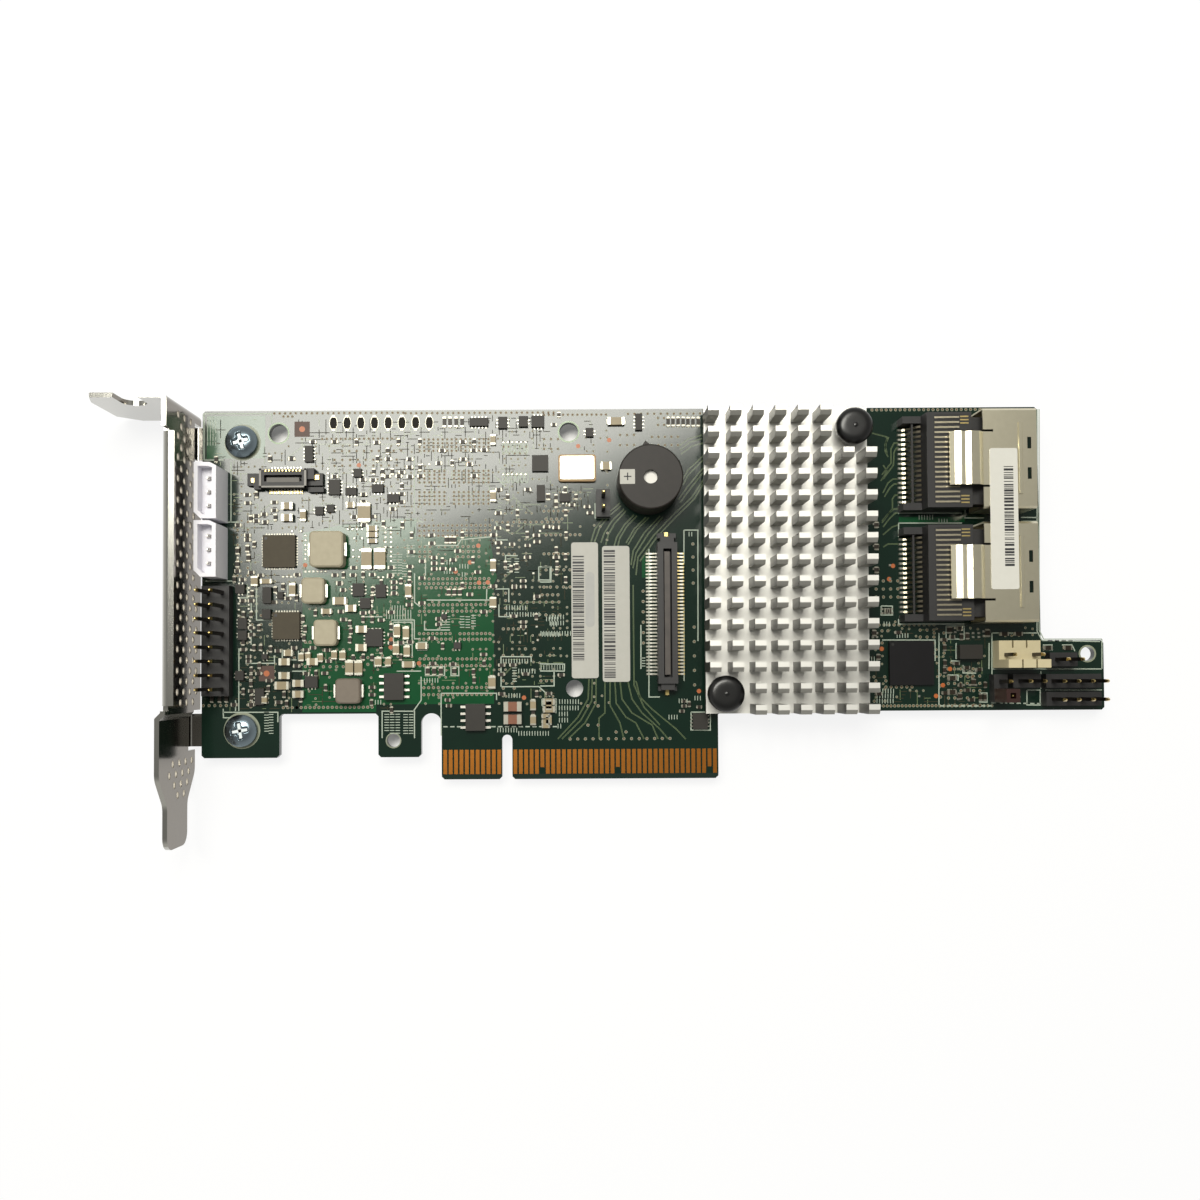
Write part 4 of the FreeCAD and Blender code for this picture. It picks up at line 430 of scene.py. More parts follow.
# Printed lines and boxes.
SILK = [
    [(-56.4, 59.75), (-56.45, 68.45), (-43.8, 68.4), (-43.8, 66.6)], [(-56.4, 59.75), (-52.8, 59.75)],
    [(-51.35, 59.35), (-51.35, 48.1), (-49.9, 48.1)], [(-52.7, 13.35), (-52.65, 11.7), (-50.4, 11.65)],
    [(-52.7, 12.7), (-42.55, 12.65), (-42.55, 10.8)], [(-50.4, 14.95), (-50.4, 12.9)],
    [(-23.2, 7.75), (-23.2, 12.75), (-17.2, 12.7), (-17.2, 7.7)],
    [(-17.4, 12.7), (-15.95, 14.75), (-15.95, 19.1)], [(-20.5, 20.15), (-15.95, 20.15)],
    [(-17.15, 38.35), (-17.15, 32.95), (-16.15, 32.15)],
    [(-21.5, 29.65), (-17.2, 29.65), (-17.2, 26.15), (-16.15, 26.15)],
    [(-2.85, 45.1), (-8.45, 44.6), (-9.1, 43.5), (-15.1, 43.55)], [(-15.1, 41.25), (-15.1, 37.9)],
    [(-2.05, 35.35), (0.4, 35.35), (0.4, 32.85)], [(-3.7, 35.35), (-3.75, 33.3)],
    [(-14.9, 33.35), (-3.1, 33.3)], [(-15.3, 29.45), (-15.3, 27.8), (-10.55, 27.75)],
    [(-12.4, 29.85), (-12.45, 27.75)], [(-1.1, 22.75), (4.5, 22.7), (4.5, 21.7)],
    [(-1.1, 22.75), (-1.1, 17.15)], [(-1.1, 17.15), (5.9, 17.15), (8, 15.25)],
    [(6, 39.45), (8.1, 39.45), (8.1, 36.95), (6, 37), (6, 39.45)], [(-0.2, 39.9), (-0.2, 41.6), (2.1, 41.55)],
    [(-1.45, 32.45), (-1.45, 30.2), (1.45, 30.15)], [(-41.75, 24.2), (-41.75, 22.35), (-39.1, 22.35)],
    [(-38.75, 24.05), (-38.75, 22.35)], [(-48.55, 21.75), (-43.2, 21.75), (-43.2, 23.2)],
    [(-49.8, 12.9), (-49.8, 24.45), (-48.15, 24.45)], [(-39.9, 20.25), (-37.4, 20.25), (-37.4, 18.2)],
    [(-46.55, 37.05), (-46.55, 29.8), (-43.65, 29.8)], [(-40.75, 36.4), (-40.75, 33.5)],
    [(-26.9, 30.3), (-23.15, 30.3)], [(-24.6, 21), (-24.6, 22.65), (-21.5, 22.65), (-21.55, 21), (-24.6, 21)],
    [(-21.1, 29.25), (-17.6, 29.25), (-17.6, 25.5), (-21.1, 25.55), (-21.1, 29.25)],
    [(-21.1, 25.1), (-17.6, 25.1), (-17.6, 22.85)],
    [(-16.55, 25.5), (-14.9, 25.5), (-14.9, 24.05), (-16.55, 24.05), (-16.55, 25.5)],
    [(-15.15, 20.95), (-11.6, 20.95), (-11.6, 19.3), (-15.15, 19.3), (-15.15, 20.95)],
    [(-10.4, 20.95), (-8.95, 20.9), (-8.95, 19.25), (-10.4, 19.3), (-10.4, 20.95)],
    [(-12.25, 16), (-1.95, 15.95), (-1.95, 14.7)], [(-12.25, 16), (-12.25, 8.15)],
    [(-2.2, 56.55), (-0.15, 54.45)], [(-1.8, 47.8), (-1.85, 44.5), (0.25, 44.5)],
    [(-17.15, 49.55), (-17.15, 60)], [(-17.15, 48.3), (-15.5, 47.9)], [(-56.05, 37.1), (-51.1, 37.1)],
    [(-48.2, 36.05), (-48.2, 33.95), (-49.85, 33.95)], [(-47.55, 33.55), (-47.55, 30.25)],
    [(-47.55, 29), (-47.55, 25.25)], [(-57.95, 48.1), (-51.35, 48.1)],
    [(33.1, 46.15), (35.7, 46.15), (35.55, 25.45)], [(26.55, 42.65), (26.35, 15.1), (28.4, 15.1)],
    [(33.1, 46.15), (33.05, 40)], [(33, 31.8), (32.9, 18.05)],
    [(34.15, 12.25), (37.75, 12.25), (37.7, 8.9), (34.1, 8.95), (34.15, 12.25)], [(24.95, 28.5), (24.9, 20.3)],
    [(16.55, 51.3), (16.55, 48.5), (19.15, 48.5)], [(6.15, 21.35), (10.7, 21.3), (10.65, 20), (6.15, 20.05)],
    [(8.75, 20), (8.75, 17.25), (6.15, 17.25)],
    [(6.5, 14.85), (9.1, 14.8), (9.1, 13.7), (6.5, 13.7), (6.5, 14.85)],
    [(6.5, 13.55), (9.1, 13.5), (9.05, 12.2)], [(6.6, 39.4), (8.3, 39.4), (8.25, 36.6), (6.2, 36.6)],
    [(73.2, 48.95), (73.2, 50.65)], [(73.2, 49.15), (85, 49.05)], [(73.15, 47.25), (85, 47.2)],
    [(73.15, 47.25), (73.1, 44.65)], [(72.9, 29.35), (72.9, 28.4), (85.1, 28.35)],
    [(85.6, 49.65), (85.55, 48.15), (89.1, 48.1)], [(96, 48.2), (99, 48.15)], [(96, 47.45), (99, 47.45)],
    [(99.35, 68.5), (98.65, 26.95), (99.55, 25.2)],
    [(99.7, 68.5), (99.05, 27.15), (99.85, 25.45), (110.7, 25.4)], [(110.7, 25.4), (110.6, 19.85)],
    [(99.55, 25.2), (110.35, 24.95)], [(90.25, 26.65), (90.05, 13.65), (92.5, 13.6)],
    [(90.25, 26.65), (98.65, 26.6)], [(90.15, 19.95), (110.6, 19.85)],
    [(96.6, 16), (99.05, 16), (99, 13.2), (96.55, 13.25), (96.6, 16)], [(99.95, 16), (110.55, 15.95)],
    [(99.25, 19.5), (99.2, 16.2)], [(83.55, 24.8), (83.5, 21.85)], [(89.7, 24.8), (89.6, 19.95)],
    [(81.75, 28), (85.1, 27.95), (85.05, 25.55), (81.7, 25.55), (81.75, 28)],
    [(69.7, 31.8), (71.8, 31.75), (71.8, 30.1), (69.65, 30.1), (69.7, 31.8)],
    [(69.8, 25.45), (79.65, 25.4), (79.6, 21.5)], [(80.4, 26.7), (80.2, 13.3)],
    [(99.7, 24.35), (101.4, 24.35), (101.4, 23.4), (99.7, 23.45)],
    [(103.25, 24.35), (105.1, 24.35), (105.65, 23.2)], [(82.55, 21.5), (84.25, 21.45)],
    [(84.8, 20.7), (84.75, 19.25), (87.2, 19.2)],
    [(87.8, 15.5), (87.75, 13.85), (89.15, 13.8), (89.15, 15.5), (87.8, 15.5)],
    [(81.95, 18.9), (83.85, 18.85), (83.8, 17.75)],
]

# Printed dashed lines.
DASHES = [
    [(80.4, 13.15), (90.05, 13.1)], [(100.65, 25.15), (105.9, 25.15)], [(-11.85, 9.8), (9.6, 9.7)],
    [(90.8, 13.65), (109.4, 13.25)],
]

# Routed tracks that run between the larger parts.
TRACES = [
    [(21.2, 51.3), (18.6, 49.05), (16.5, 46.45), (15.75, 44)],
    [(21.4, 50.75), (19.15, 48.85), (17.45, 46.8), (16.4, 44)],
    [(21.95, 50.15), (19.7, 47.95), (18.25, 45.7), (17.6, 43.85)],
    [(22.3, 49.8), (20.25, 47.55), (18.95, 45.3), (18.5, 43.45)],
    [(23.8, 49.05), (21.95, 47.15), (20.6, 44.95), (20.05, 43.25)],
    [(24.35, 48.85), (22.5, 47), (21.15, 44.75), (20.7, 43.05)], [(26.05, 48.65), (23.8, 46.4), (22.3, 43.8)],
    [(26.6, 48.55), (24.35, 46.35), (22.65, 43.45)],
    [(28.65, 48.8), (25.65, 45.65), (23.6, 42.3), (23.2, 39.7)],
    [(29.2, 48.65), (26.4, 45.45), (24.15, 41.9), (23.55, 39.1)],
    [(36.9, 55.7), (34.65, 52.35), (30.9, 48.8), (27.5, 45.25), (24.5, 41.15), (24.1, 37.8)],
    [(36.9, 54.95), (35.05, 51.95), (31.25, 48.25), (27.9, 44.7), (24.85, 40.4)],
    [(36.95, 57.2), (34.3, 53.85), (32.4, 51.25)], [(36.95, 57.95), (34.1, 54.6), (32.05, 51.8)],
    [(36.95, 59.45), (33.95, 56.45), (33, 54.6)], [(36.95, 60.2), (33.95, 57.4), (33, 55.7)],
    [(32.1, 61.75), (34, 63.25), (36.6, 63.95)], [(32.5, 61.15), (34.35, 62.65), (36.6, 63.3)],
    [(32.65, 60.4), (34.75, 61.9), (36.8, 62.45)], [(15.25, 18.5), (15.05, 14.8), (13.15, 11.45), (9.4, 7.4)],
    [(15.85, 18.5), (15.7, 14.4), (13.7, 10.9), (10.15, 7.4)],
    [(16.55, 18.5), (16.5, 14.05), (14.45, 10.35), (11.3, 7.4)],
    [(18.2, 18.1), (18.15, 12.15), (17.05, 11.25), (17.05, 7.35)],
    [(19.15, 18.1), (19.1, 13.65), (20.95, 10.3), (21.65, 7.35)],
    [(20.05, 18.1), (20.25, 14), (22.05, 11.4), (23.9, 10.3), (25.4, 7.3)],
    [(21, 18.1), (21.35, 14.75), (23.2, 12.15), (26.9, 9.9), (28, 7.3)],
    [(22.5, 17.9), (23.2, 14.75), (25.05, 12.15), (28.35, 9.15), (29.85, 7.3)],
    [(23.55, 35.95), (23.6, 17.35), (25.4, 13.25), (28.35, 9.9)],
    [(23.95, 18.1), (24.7, 15.1), (26.9, 12.85), (31.35, 9.15), (33.15, 7.25)],
    [(72.95, 55.5), (72.2, 55.5), (71.25, 54.75), (70.3, 52.9)],
    [(72.95, 54.55), (72.45, 54.6), (71.65, 53.95), (70.55, 52.15)],
    [(73.25, 62.25), (72.5, 62.25), (71.9, 61.15), (71.9, 58.5), (70.15, 56.3)],
    [(73.25, 61.5), (72.8, 61.15), (72.45, 60.4), (72.35, 58.15), (70.35, 55.5)],
    [(73.1, 49.9), (72.35, 49.9), (71.4, 49.15), (70.05, 47.3)],
    [(73.05, 49.15), (72.6, 49.15), (71.55, 48.2), (70.25, 46.55)],
    [(73.1, 52.5), (72.55, 52.5), (72.05, 51.75), (72.05, 49.9), (70.05, 47.65)],
    [(73.2, 43.35), (71.15, 43.35), (70.2, 42.8)], [(73.05, 46.9), (71.9, 46.5), (70.2, 45.05)],
    [(68.4, 64.15), (71.2, 63.4), (70.8, 60.8), (71.35, 59.65)], [(70.4, 58.15), (71.1, 57), (69.95, 55.15)],
    [(71.55, 63.4), (70.8, 61.9), (71.15, 60.4)], [(-20.45, 62.5), (-18.8, 64.35), (-16.7, 64.55)],
    [(-36, 62.6), (-20.45, 62.5)], [(-40.8, 60.1), (-37.45, 62.6)], [(-44.1, 51.35), (-45.75, 50.15)],
    [(-26.65, 54.6), (-25, 56.25)], [(-23.75, 55.85), (-25.85, 53.75)],
    [(-1.8, 47.4), (0.65, 45.75), (4, 45.7)], [(1.5, 45.7), (3.55, 47.35), (7.3, 47.35)],
    [(3.95, 44.45), (6.45, 45.7), (9.8, 45.7)], [(0.7, 49.45), (2.35, 51.1), (6.5, 51.1)],
    [(-0.15, 51.15), (1.5, 52.4), (4.8, 49.45)], [(-0.8, 37), (1.45, 39.1)],
    [(1.45, 31.2), (3.5, 32.85), (9.7, 32.8)], [(-1.1, 18.8), (1.4, 21.3)],
]

# Lines along which plain little bars stand in for printed marks.
MARKS = [
    [(-55.95, 67.5), (-54.3, 67.5)], [(-55.95, 66.8), (-54.1, 66.75)], [(-55.95, 65.95), (-54.05, 65.95)],
    [(-55.95, 65.2), (-54.05, 65.2)], [(-55.95, 64.45), (-54.3, 64.45)], [(-55.95, 63.6), (-54.05, 63.6)],
    [(-55.95, 62.9), (-54.05, 62.9)], [(-15.55, 18.4), (-12.65, 18.4)], [(-25.65, 14.4), (-23, 14.4)],
    [(-11.8, 40.4), (-10.1, 40.4)], [(-11.8, 38.65), (-10.1, 38.65)], [(-8.9, 39.65), (-7.2, 39.6)],
    [(-8.45, 38.1), (-7.25, 38.1)], [(-22.35, 12.35), (-22.35, 9.05)], [(-21.35, 12.35), (-21.35, 8.2)],
    [(-20.3, 12.35), (-20.3, 8.6)], [(-18.85, 12.3), (-18.85, 8.2)], [(-17.8, 12.3), (-17.85, 8.2)],
    [(-43.8, 12.45), (-43.8, 8.35)], [(-44.65, 12.85), (-44.65, 8.75)], [(-11.8, 30.45), (-11.8, 28.15)],
    [(-10.95, 30.45), (-11, 28.15)], [(-8.3, 30.45), (-8.3, 28.15)], [(-7.25, 30.4), (-7.25, 28.15)],
    [(-6.2, 30.65), (-6.2, 28.35)], [(-7.85, 46.8), (-7.85, 45.35)], [(-18.2, 43.75), (-18.2, 41.25)],
    [(-17.5, 43.75), (-17.5, 41.25)], [(-20.9, 42.1), (-20.9, 37.95)], [(-19.85, 42.1), (-19.85, 37.95)],
    [(-19, 40.45), (-19.05, 37.55)], [(-22.55, 31.15), (-17.6, 31.1)], [(-22.55, 30.3), (-17.6, 30.25)],
    [(-21.5, 31.95), (-18.85, 31.95)], [(-0.2, 31.85), (3.5, 31.8)], [(-0.2, 30.6), (6, 30.55)],
    [(6.4, 26.85), (9.7, 26.8)], [(7.2, 29.7), (9.7, 29.7)], [(8.05, 28.75), (9.7, 28.75)],
    [(-0.85, 21.9), (3.9, 21.9)], [(1.4, 20.85), (1.4, 18)], [(2, 20.05), (5.5, 20)],
    [(0.15, 15.5), (2.4, 15.5)], [(-1.95, 9.15), (1.75, 9.1)], [(1.95, 8.5), (7.95, 8.45)],
    [(7.2, 20.65), (9.65, 20.6)], [(0.45, 41.15), (0.45, 38.25)], [(1.9, 41.15), (1.9, 38.25)],
    [(7.85, 30.05), (10.85, 30.05)], [(7.85, 28.95), (10.85, 28.95)], [(6.15, 27.05), (11.95, 27)],
    [(6.15, 20.7), (10.4, 20.7)], [(9.55, 14.35), (13.55, 14.3)], [(9.5, 13.15), (13.55, 13.15)],
    [(9.5, 12.05), (11.3, 12.05)], [(9.5, 10.9), (11.3, 10.9)], [(9.25, 9.8), (10.35, 9.8)],
    [(29.85, 11.35), (31.7, 11.35)], [(31.75, 14.35), (33.8, 14.3)], [(34.7, 14.85), (36.4, 14.85)],
    [(25.3, 22.55), (25.3, 20.65)], [(33.85, 45.4), (34.95, 45.4)], [(76.8, 48.3), (79.6, 48.3)],
    [(80.5, 47.6), (82.55, 47.6)], [(72.4, 26.25), (74.8, 26.25)], [(69.1, 16), (71.9, 15.95)],
    [(68.55, 15.05), (71.9, 15.05)], [(68.5, 14.1), (71.85, 14.1)], [(67.6, 21.95), (68.8, 21.9)],
    [(70, 28.45), (71.3, 28.4)],
]

# Outlines of wide copper areas under the mask.
POURS = [
    [(-38.0, 12.6), (-24.3, 12.6), (-24.3, 14.0), (-2.4, 14.0), (-2.4, 36.2), (-1.8, 37.5), (-3.2, 45.2),
     (-16.8, 45.2), (-16.8, 48.6), (-21.5, 48.6), (-30.5, 47.5), (-38.0, 46.0)],
    [(-55.9, 60.0), (-45.0, 60.0), (-45.0, 68.0), (-55.9, 68.0)],
    [(73.2, 47.4), (85.5, 47.4), (85.5, 48.4), (73.2, 48.4)],
    [(25.2, 37.3), (26.9, 37.3), (26.9, 41.4), (25.2, 41.4)],
]

# Fields too crowded to place parts singly: (x0, y0, x1, y1, step x, step y, share of the cells in use).
CROWDED = [
    (-51.6, 47.5, -39.0, 54.0, 1.7, 1.4, 0.5), (-28.4, 47.5, -17.6, 57.5, 1.8, 1.4, 0.45),
    (-1.5, 37.0, 12.7, 55.0, 1.8, 1.4, 0.35), (-50.6, 14.0, -46.3, 39.5, 1.6, 1.3, 0.6),
    (-46.0, 12.9, -17.8, 39.5, 1.75, 1.4, 0.5), (-17.6, 18.3, -1.5, 46.5, 1.9, 1.6, 0.22),
    (-1.0, 14.0, 12.0, 36.5, 2.2, 1.8, 0.14), (69.0, 14.0, 73.4, 28.4, 1.9, 1.6, 0.3),
    (81.3, 14.2, 92.0, 27.5, 1.6, 1.4, 0.4), (-36.0, 56.5, -2.0, 64.0, 2.0, 1.6, 0.3),
    (-54.0, 55.0, -38.0, 62.0, 2.0, 1.6, 0.3),
]
CROWDED_CHIP = (1.15, 0.62)

# Fields of short strokes: (x0, y0, x1, y1, share of the strokes).
ROUTED = [
    (-54.0, 46.0, -16.0, 67.0, 0.34), (-16.0, 50.0, 16.0, 67.5, 0.26), (-52.0, 13.0, -18.0, 46.0, 0.2),
    (-16.0, 15.0, 12.0, 50.0, 0.13), (66.0, 13.5, 92.0, 29.0, 0.07),
]
ROUTING_GRID = 0.635

# Fields of the finest plated holes, on a 1.27 mm grid of which 42 % is in use.
SPECKLED = [
    (-52.0, 14.0, -1.5, 64.0), (-1.5, 14.0, 20.0, 66.0), (66.0, 13.5, 98.0, 29.0), (38.0, 13.0, 66.0, 68.0),
]
SPECKLE_GRID = 1.27
SPECKLE_SHARE = 0.42

# Mounting and tooling holes of the board.
STANDOFF_HOLES = [(-42.5, 64.7), (11.7, 64.7)]
LOWER_HOLE = (12.55, 16.75)
SMALL_TAB_HOLE = (-21.1, 7.3)
END_TAB_HOLE = (107.95, 22.7)
HOLES = np.array([*STANDOFF_HOLES, LOWER_HOLE, SMALL_TAB_HOLE, END_TAB_HOLE])

FIDUCIALS = np.array([(-38.1, 65.45), (-44.65, 19.85)])
SOUNDER_MIDDLE = (26.45, 54.8)

# How far the cross of each screw is turned, in degrees.
CROSS_TURN = {"bracket_screw_upper": 15, "bracket_screw_lower": 10}


# ---------------------------------------------------------------- materials
def linear(hex_colour):
    """sRGB hex to the linear colour that Blender's sockets take."""
    value = np.array([int(hex_colour[i:i + 2], 16) for i in (1, 3, 5)]) / 255
    light = np.where(value <= 0.04045, value / 12.92, ((value + 0.055) / 1.055) ** 2.4)
    return (*light.tolist(), 1.0)


def new_material(name):
    """A material with its node tree and its main shader."""
    made = bpy.data.materials.new(name)
    made.use_nodes = True
    tree = made.node_tree
    return made, tree, tree.nodes["Principled BSDF"]


def node(tree, kind, settings=None, links=None):
    """Adds a node; settings go to its properties or its sockets, links join sockets to it."""
    added = tree.nodes.new(kind)
    for key, value in (settings or {}).items():
        if isinstance(key, str) and hasattr(added, key):
            setattr(added, key, value)
        else:
            added.inputs[key].default_value = value
    for key, source in (links or {}).items():
        tree.links.new(source, added.inputs[key])
    return added


def blend(tree, share, first, second):
    """Colour that goes from the first to the second as the share goes from 0 to 1."""
    mix = node(tree, "ShaderNodeMix", {"data_type": "RGBA"}, {0: share})
    mix.inputs[6].default_value = linear(first)
    mix.inputs[7].default_value = linear(second)
    return mix


def surface(name, colours, roughness, metallic=0.0, scale=900, ior=1.5):
    """Material whose two near colours a soft grain mixes; scale is in grains a metre, about 1 mm each.

    The real grains are finer: they are drawn as coarse as they need to show."""
    made, tree, shader = new_material(name)
    shader.inputs["Roughness"].default_value = roughness
    shader.inputs["Metallic"].default_value = metallic
    if not metallic:
        shader.inputs["IOR"].default_value = ior
    where = node(tree, "ShaderNodeTexCoord")
    settings = {"Scale": scale, "Detail": 2.0}
    grain = node(tree, "ShaderNodeTexNoise", settings, {"Vector": where.outputs["Object"]})
    mix = blend(tree, grain.outputs["Fac"], *colours)
    tree.links.new(mix.outputs[2], shader.inputs["Base Color"])
    return made


def facing(tree, axis, low, high):
    """0 where the surface's direction along an axis is at low and 1 where it is at high."""
    normal = node(tree, "ShaderNodeNewGeometry")
    split = node(tree, "ShaderNodeSeparateXYZ", links={"Vector": normal.outputs["Normal"]})
    limits = {"From Min": low, "From Max": high}
    share = node(tree, "ShaderNodeMapRange", limits, {"Value": split.outputs[axis]})
    return share.outputs["Result"]


def painted_by_facing(name, axis, low, high, away, towards, metallic, roughness):
    """Metal with painted light and shade: its colour goes from one tone to another as the surface turns to face
    along an axis.
    """
    made, tree, shader = new_material(name)
    shader.inputs["Metallic"].default_value = metallic
    shader.inputs["Roughness"].default_value = roughness
    mix = blend(tree, facing(tree, axis, low, high), away, towards)
    tree.links.new(mix.outputs[2], shader.inputs["Base Color"])
    return made


def paint_shade_on_left_walls(made, shade):
    """Paints shade on the walls that face along minus x by darkening their colour."""
    tree = made.node_tree
    shader = tree.nodes["Principled BSDF"]
    plain = shader.inputs["Base Color"].links[0].from_socket
    mix = blend(tree, facing(tree, "X", -0.4, -0.8), shade, shade)
    tree.links.new(plain, mix.inputs[6])
    tree.links.new(mix.outputs[2], shader.inputs["Base Color"])


# Board. Liquid solder mask, cured: a deep green gloss that shows the room in it.
MASK = surface("solder_mask", ("#0a1f17", "#0d261b"), 0.15, scale=300)
# The same mask over copper: brighter and more yellow, as the metal shows through.
POUR_MASK = surface("mask_on_copper", ("#074c28", "#063f20"), 0.15, scale=300)
# Mask over narrow tracks: a pale olive line, less glossy than the flat mask, paler partly from the copper
# beneath and partly as a painted highlight where the raised track edges catch the light.
TRACK_MASK = surface("mask_on_track", ("#6c7a56", "#5d6b4a"), 0.25)
# Mask in the shade inside the oval elements: nearly black and dull.
MASK_DARK = surface("shaded_mask", ("#1a1610", "#14110c"), 0.65, ior=1.3)
# Mask that ends round the mounting holes: a thin pale green ring.
RIM_MASK = surface("pale_mask_ring", ("#6f8a5e", "#5f7a50"), 0.25)
# Bare glass laminate without mask: matt brown squares.
BARE_BROWN = surface("bare_laminate", ("#3f2518", "#4a2d1e"), 0.5)
# Short printed and routed strokes: dull brown, so that the crowded fields look busy.
BARE_STROKE = surface("bare_stroke", ("#2e2b1c", "#3a3322"), 0.65, ior=1.3)
# Screen-printed ink: soft greenish white.
SILK_INK = surface("white_ink", ("#aab5a6", "#9aa597"), 0.5)
# Electroplated gold on the card edge: a warm satin orange.
GOLD = surface("gold_plating", ("#a4682b", "#905a24"), 0.38, 1.0, scale=2000)
# Tinned copper rings, half under mask: grey olive.
TIN_LAND = surface("tinned_land", ("#8f9480", "#7c826d"), 0.4)
# The middles of plated holes: a brown dot in each ring.
VIA_FILL = surface("bare_via", ("#6b4a2c", "#5a3c22"), 0.5)
# Bare copper: single orange dots.
TEST_POINT = surface("bare_copper", ("#b4602a", "#a05222"), 0.4)
# Solder that has flowed: bright and a little uneven.
SOLDER = surface("bright_solder", ("#b9b7ab", "#a4a296"), 0.3, 0.85)
# Dull solder on the ends of little chips: the same grey without sparkle.
CHIP_END = surface("dull_solder", ("#a3a093", "#8f8c80"), 0.35, 0.85)

# Fixings. Bright zinc on steel: bluish grey with clear highlights on the crown.
ZINC = surface("bright_zinc", ("#7b8a93", "#87959d"), 0.27, 1.0)
# The floor of the screws' cross, which catches the light: nearly white.
CROSS_FLOOR = surface("bright_recess", ("#e3eaec", "#d5dde0"), 0.5, 0.4)
# Moulded nylon of the push pins: glossy black with soft highlights.
NYLON = surface("glossy_black_nylon", ("#080808", "#0b0b0c"), 0.3)
# Drawn spring wire: a plain bright grey.
SPRING = surface("spring_wire", ("#b8b8bc", "#a4a4a8"), 0.3, 1.0)

# Connectors. Glass-filled moulding: matt charcoal.
MOULDING = surface("glass_filled_moulding", ("#1b1a1b", "#242324"), 0.5)
# Black moulding in the shade of the grooves: darker than its block.
DARK_GROOVE = surface("dark_groove", ("#0c0b0b", "#121111"), 0.5)
# The moulded tongue of the small socket: mid grey.
GREY_PLASTIC = surface("grey_tongue", ("#5f5c57", "#54514c"), 0.5)
# The worn upper rim of the small socket: pale grey.
RIM_GREY = surface("grey_rim", ("#8d8a84", "#7a7771"), 0.45)
# The tongue of the mezzanine socket, brown and black in patches about 2 mm wide.
TONGUE_BROWN = surface("mottled_tongue", ("#57504a", "#2e2926"), 0.5, scale=450)
# Moulded nylon of the fan headers: clean white.
WHITE_NYLON = surface("white_nylon", ("#ecebf1", "#e3e2ea"), 0.45)
# Moulded nylon of the lock header: cream.
BEIGE_NYLON = surface("beige_nylon", ("#c4b998", "#b9ae8c"), 0.45)
# Moulded jumper cap: dark red-brown.
CAP_PLASTIC = surface("red_brown_cap", ("#2a1512", "#341b15"), 0.35)
# Matt electroplated tin: pale warm grey.
TIN = surface("matt_tin", ("#cfccc4", "#dedbd2"), 0.3, 1.0)
# Nickel on the folded covers of the ports: warm white metal.
CAGE = surface("nickel_cage", ("#d6d0b8", "#dfd9c2"), 0.3, 1.0)
# Thin gold on tin: pale yellow feet and clips.
GOLD_TIN = surface("thin_gold", ("#e3cf92", "#cfb774"), 0.3, 1.0)
# Springs deep in a socket: brown metal with little light on it.
DARK_METAL = surface("shaded_spring", ("#5c5247", "#6e6355"), 0.4, 1.0)
# Stamped and formed contacts of the ports: satin yellow grey.
CONTACT_LOOK = surface("formed_contact", ("#b9b19c", "#a89f89"), 0.3, 1.0)

# Packages. Transfer-moulded epoxy: brownish black, matt.
EPOXY = surface("chip_epoxy", ("#282520", "#221f1b"), 0.5, ior=1.4)
# The flash chip's epoxy: a deeper, colder black.
FLASH_EPOXY = surface("black_epoxy", ("#0b0a0c", "#100f12"), 0.5, ior=1.3)
# The regulators' epoxy: worn to olive brown.
REGULATOR_EPOXY = surface("worn_epoxy", ("#453f34", "#4e483b"), 0.6, ior=1.3)
# The moulded spot near the first pin: a darker dimple.
DARK_SPOT = surface("moulded_spot", ("#1d1b1a", "#161514"), 0.4)
# Resistor glaze: nearly black with a soft sheen.
RESISTOR = surface("resistor_film", ("#1f1a13", "#2c2419"), 0.4, ior=1.35)
# Fired ceramic of larger capacitors: red brown.
BROWN = surface("brown_ceramic", ("#6f4026", "#7d4c30"), 0.45)
# Fired ceramic of small capacitors: sandy.
TAN = surface("tan_ceramic", ("#84775b", "#938566"), 0.45)
# Fired ceramic of the oscillator's base: amber, with a darker one on the CAD node that it stands for.
AMBER = surface("amber_ceramic", ("#9a7434", "#86632b"), 0.4)
CERAMIC = surface("dark_ceramic", ("#6b6252", "#5d5547"), 0.5)
# Gold-flashed lid of the oscillator: warm white.
LID = surface("plated_lid", ("#e8e2d0", "#f0ead8"), 0.35, 1.0)
# Pressed iron powder of the inductors: matt sand, and grey brown on the filter.
FERRITE = surface("pressed_ferrite", ("#9b937d", "#aba38c"), 0.6)
DARK_FERRITE = surface("dark_ferrite", ("#6a6156", "#756b5f"), 0.6)
# Moulded case of the sounder: brownish black.
SOUNDER = surface("sounder_moulding", ("#1a1613", "#241f1b"), 0.5, ior=1.4)
# The sounder's membrane behind its hole: plain white.
BRIGHT_HOLE = surface("pale_membrane", ("#f2f0ea", "#e6e3dc"), 0.5)
# The processor's laminate carrier and the film above it, both under the heatsink.
SUBSTRATE = surface("package_substrate", ("#1b2a22", "#22332a"), 0.5)
FILM = surface("thermal_film", ("#8b8b90", "#96969b"), 0.7)

# Labels. Coated paper: light grey on the board, whiter on the ports.
PAPER = surface("sticker_paper", ("#b0afa8", "#a9a8a0"), 0.5)
PORT_PAPER = surface("glossy_paper", ("#cfcec7", "#c9c8c0"), 0.4)
# Printed ink on the labels: near black.
INK = surface("printed_ink", ("#1c1c20", "#242428"), 0.5)
# Where the paper is rubbed: a little darker than the label.
PATCH = surface("worn_patch", ("#9b9b98", "#a6a6a2"), 0.5)

# Gold flash on square pins, with painted light: a painted highlight makes the tips bright, and painted shade
# turns the upright shafts dark brown.
PIN_GOLD_PAINTED_LIGHT = painted_by_facing("pin_gold_painted_light", "Z", 0.05, 0.3, "#2a1d10", "#f0d48a", 1.0, 0.3)
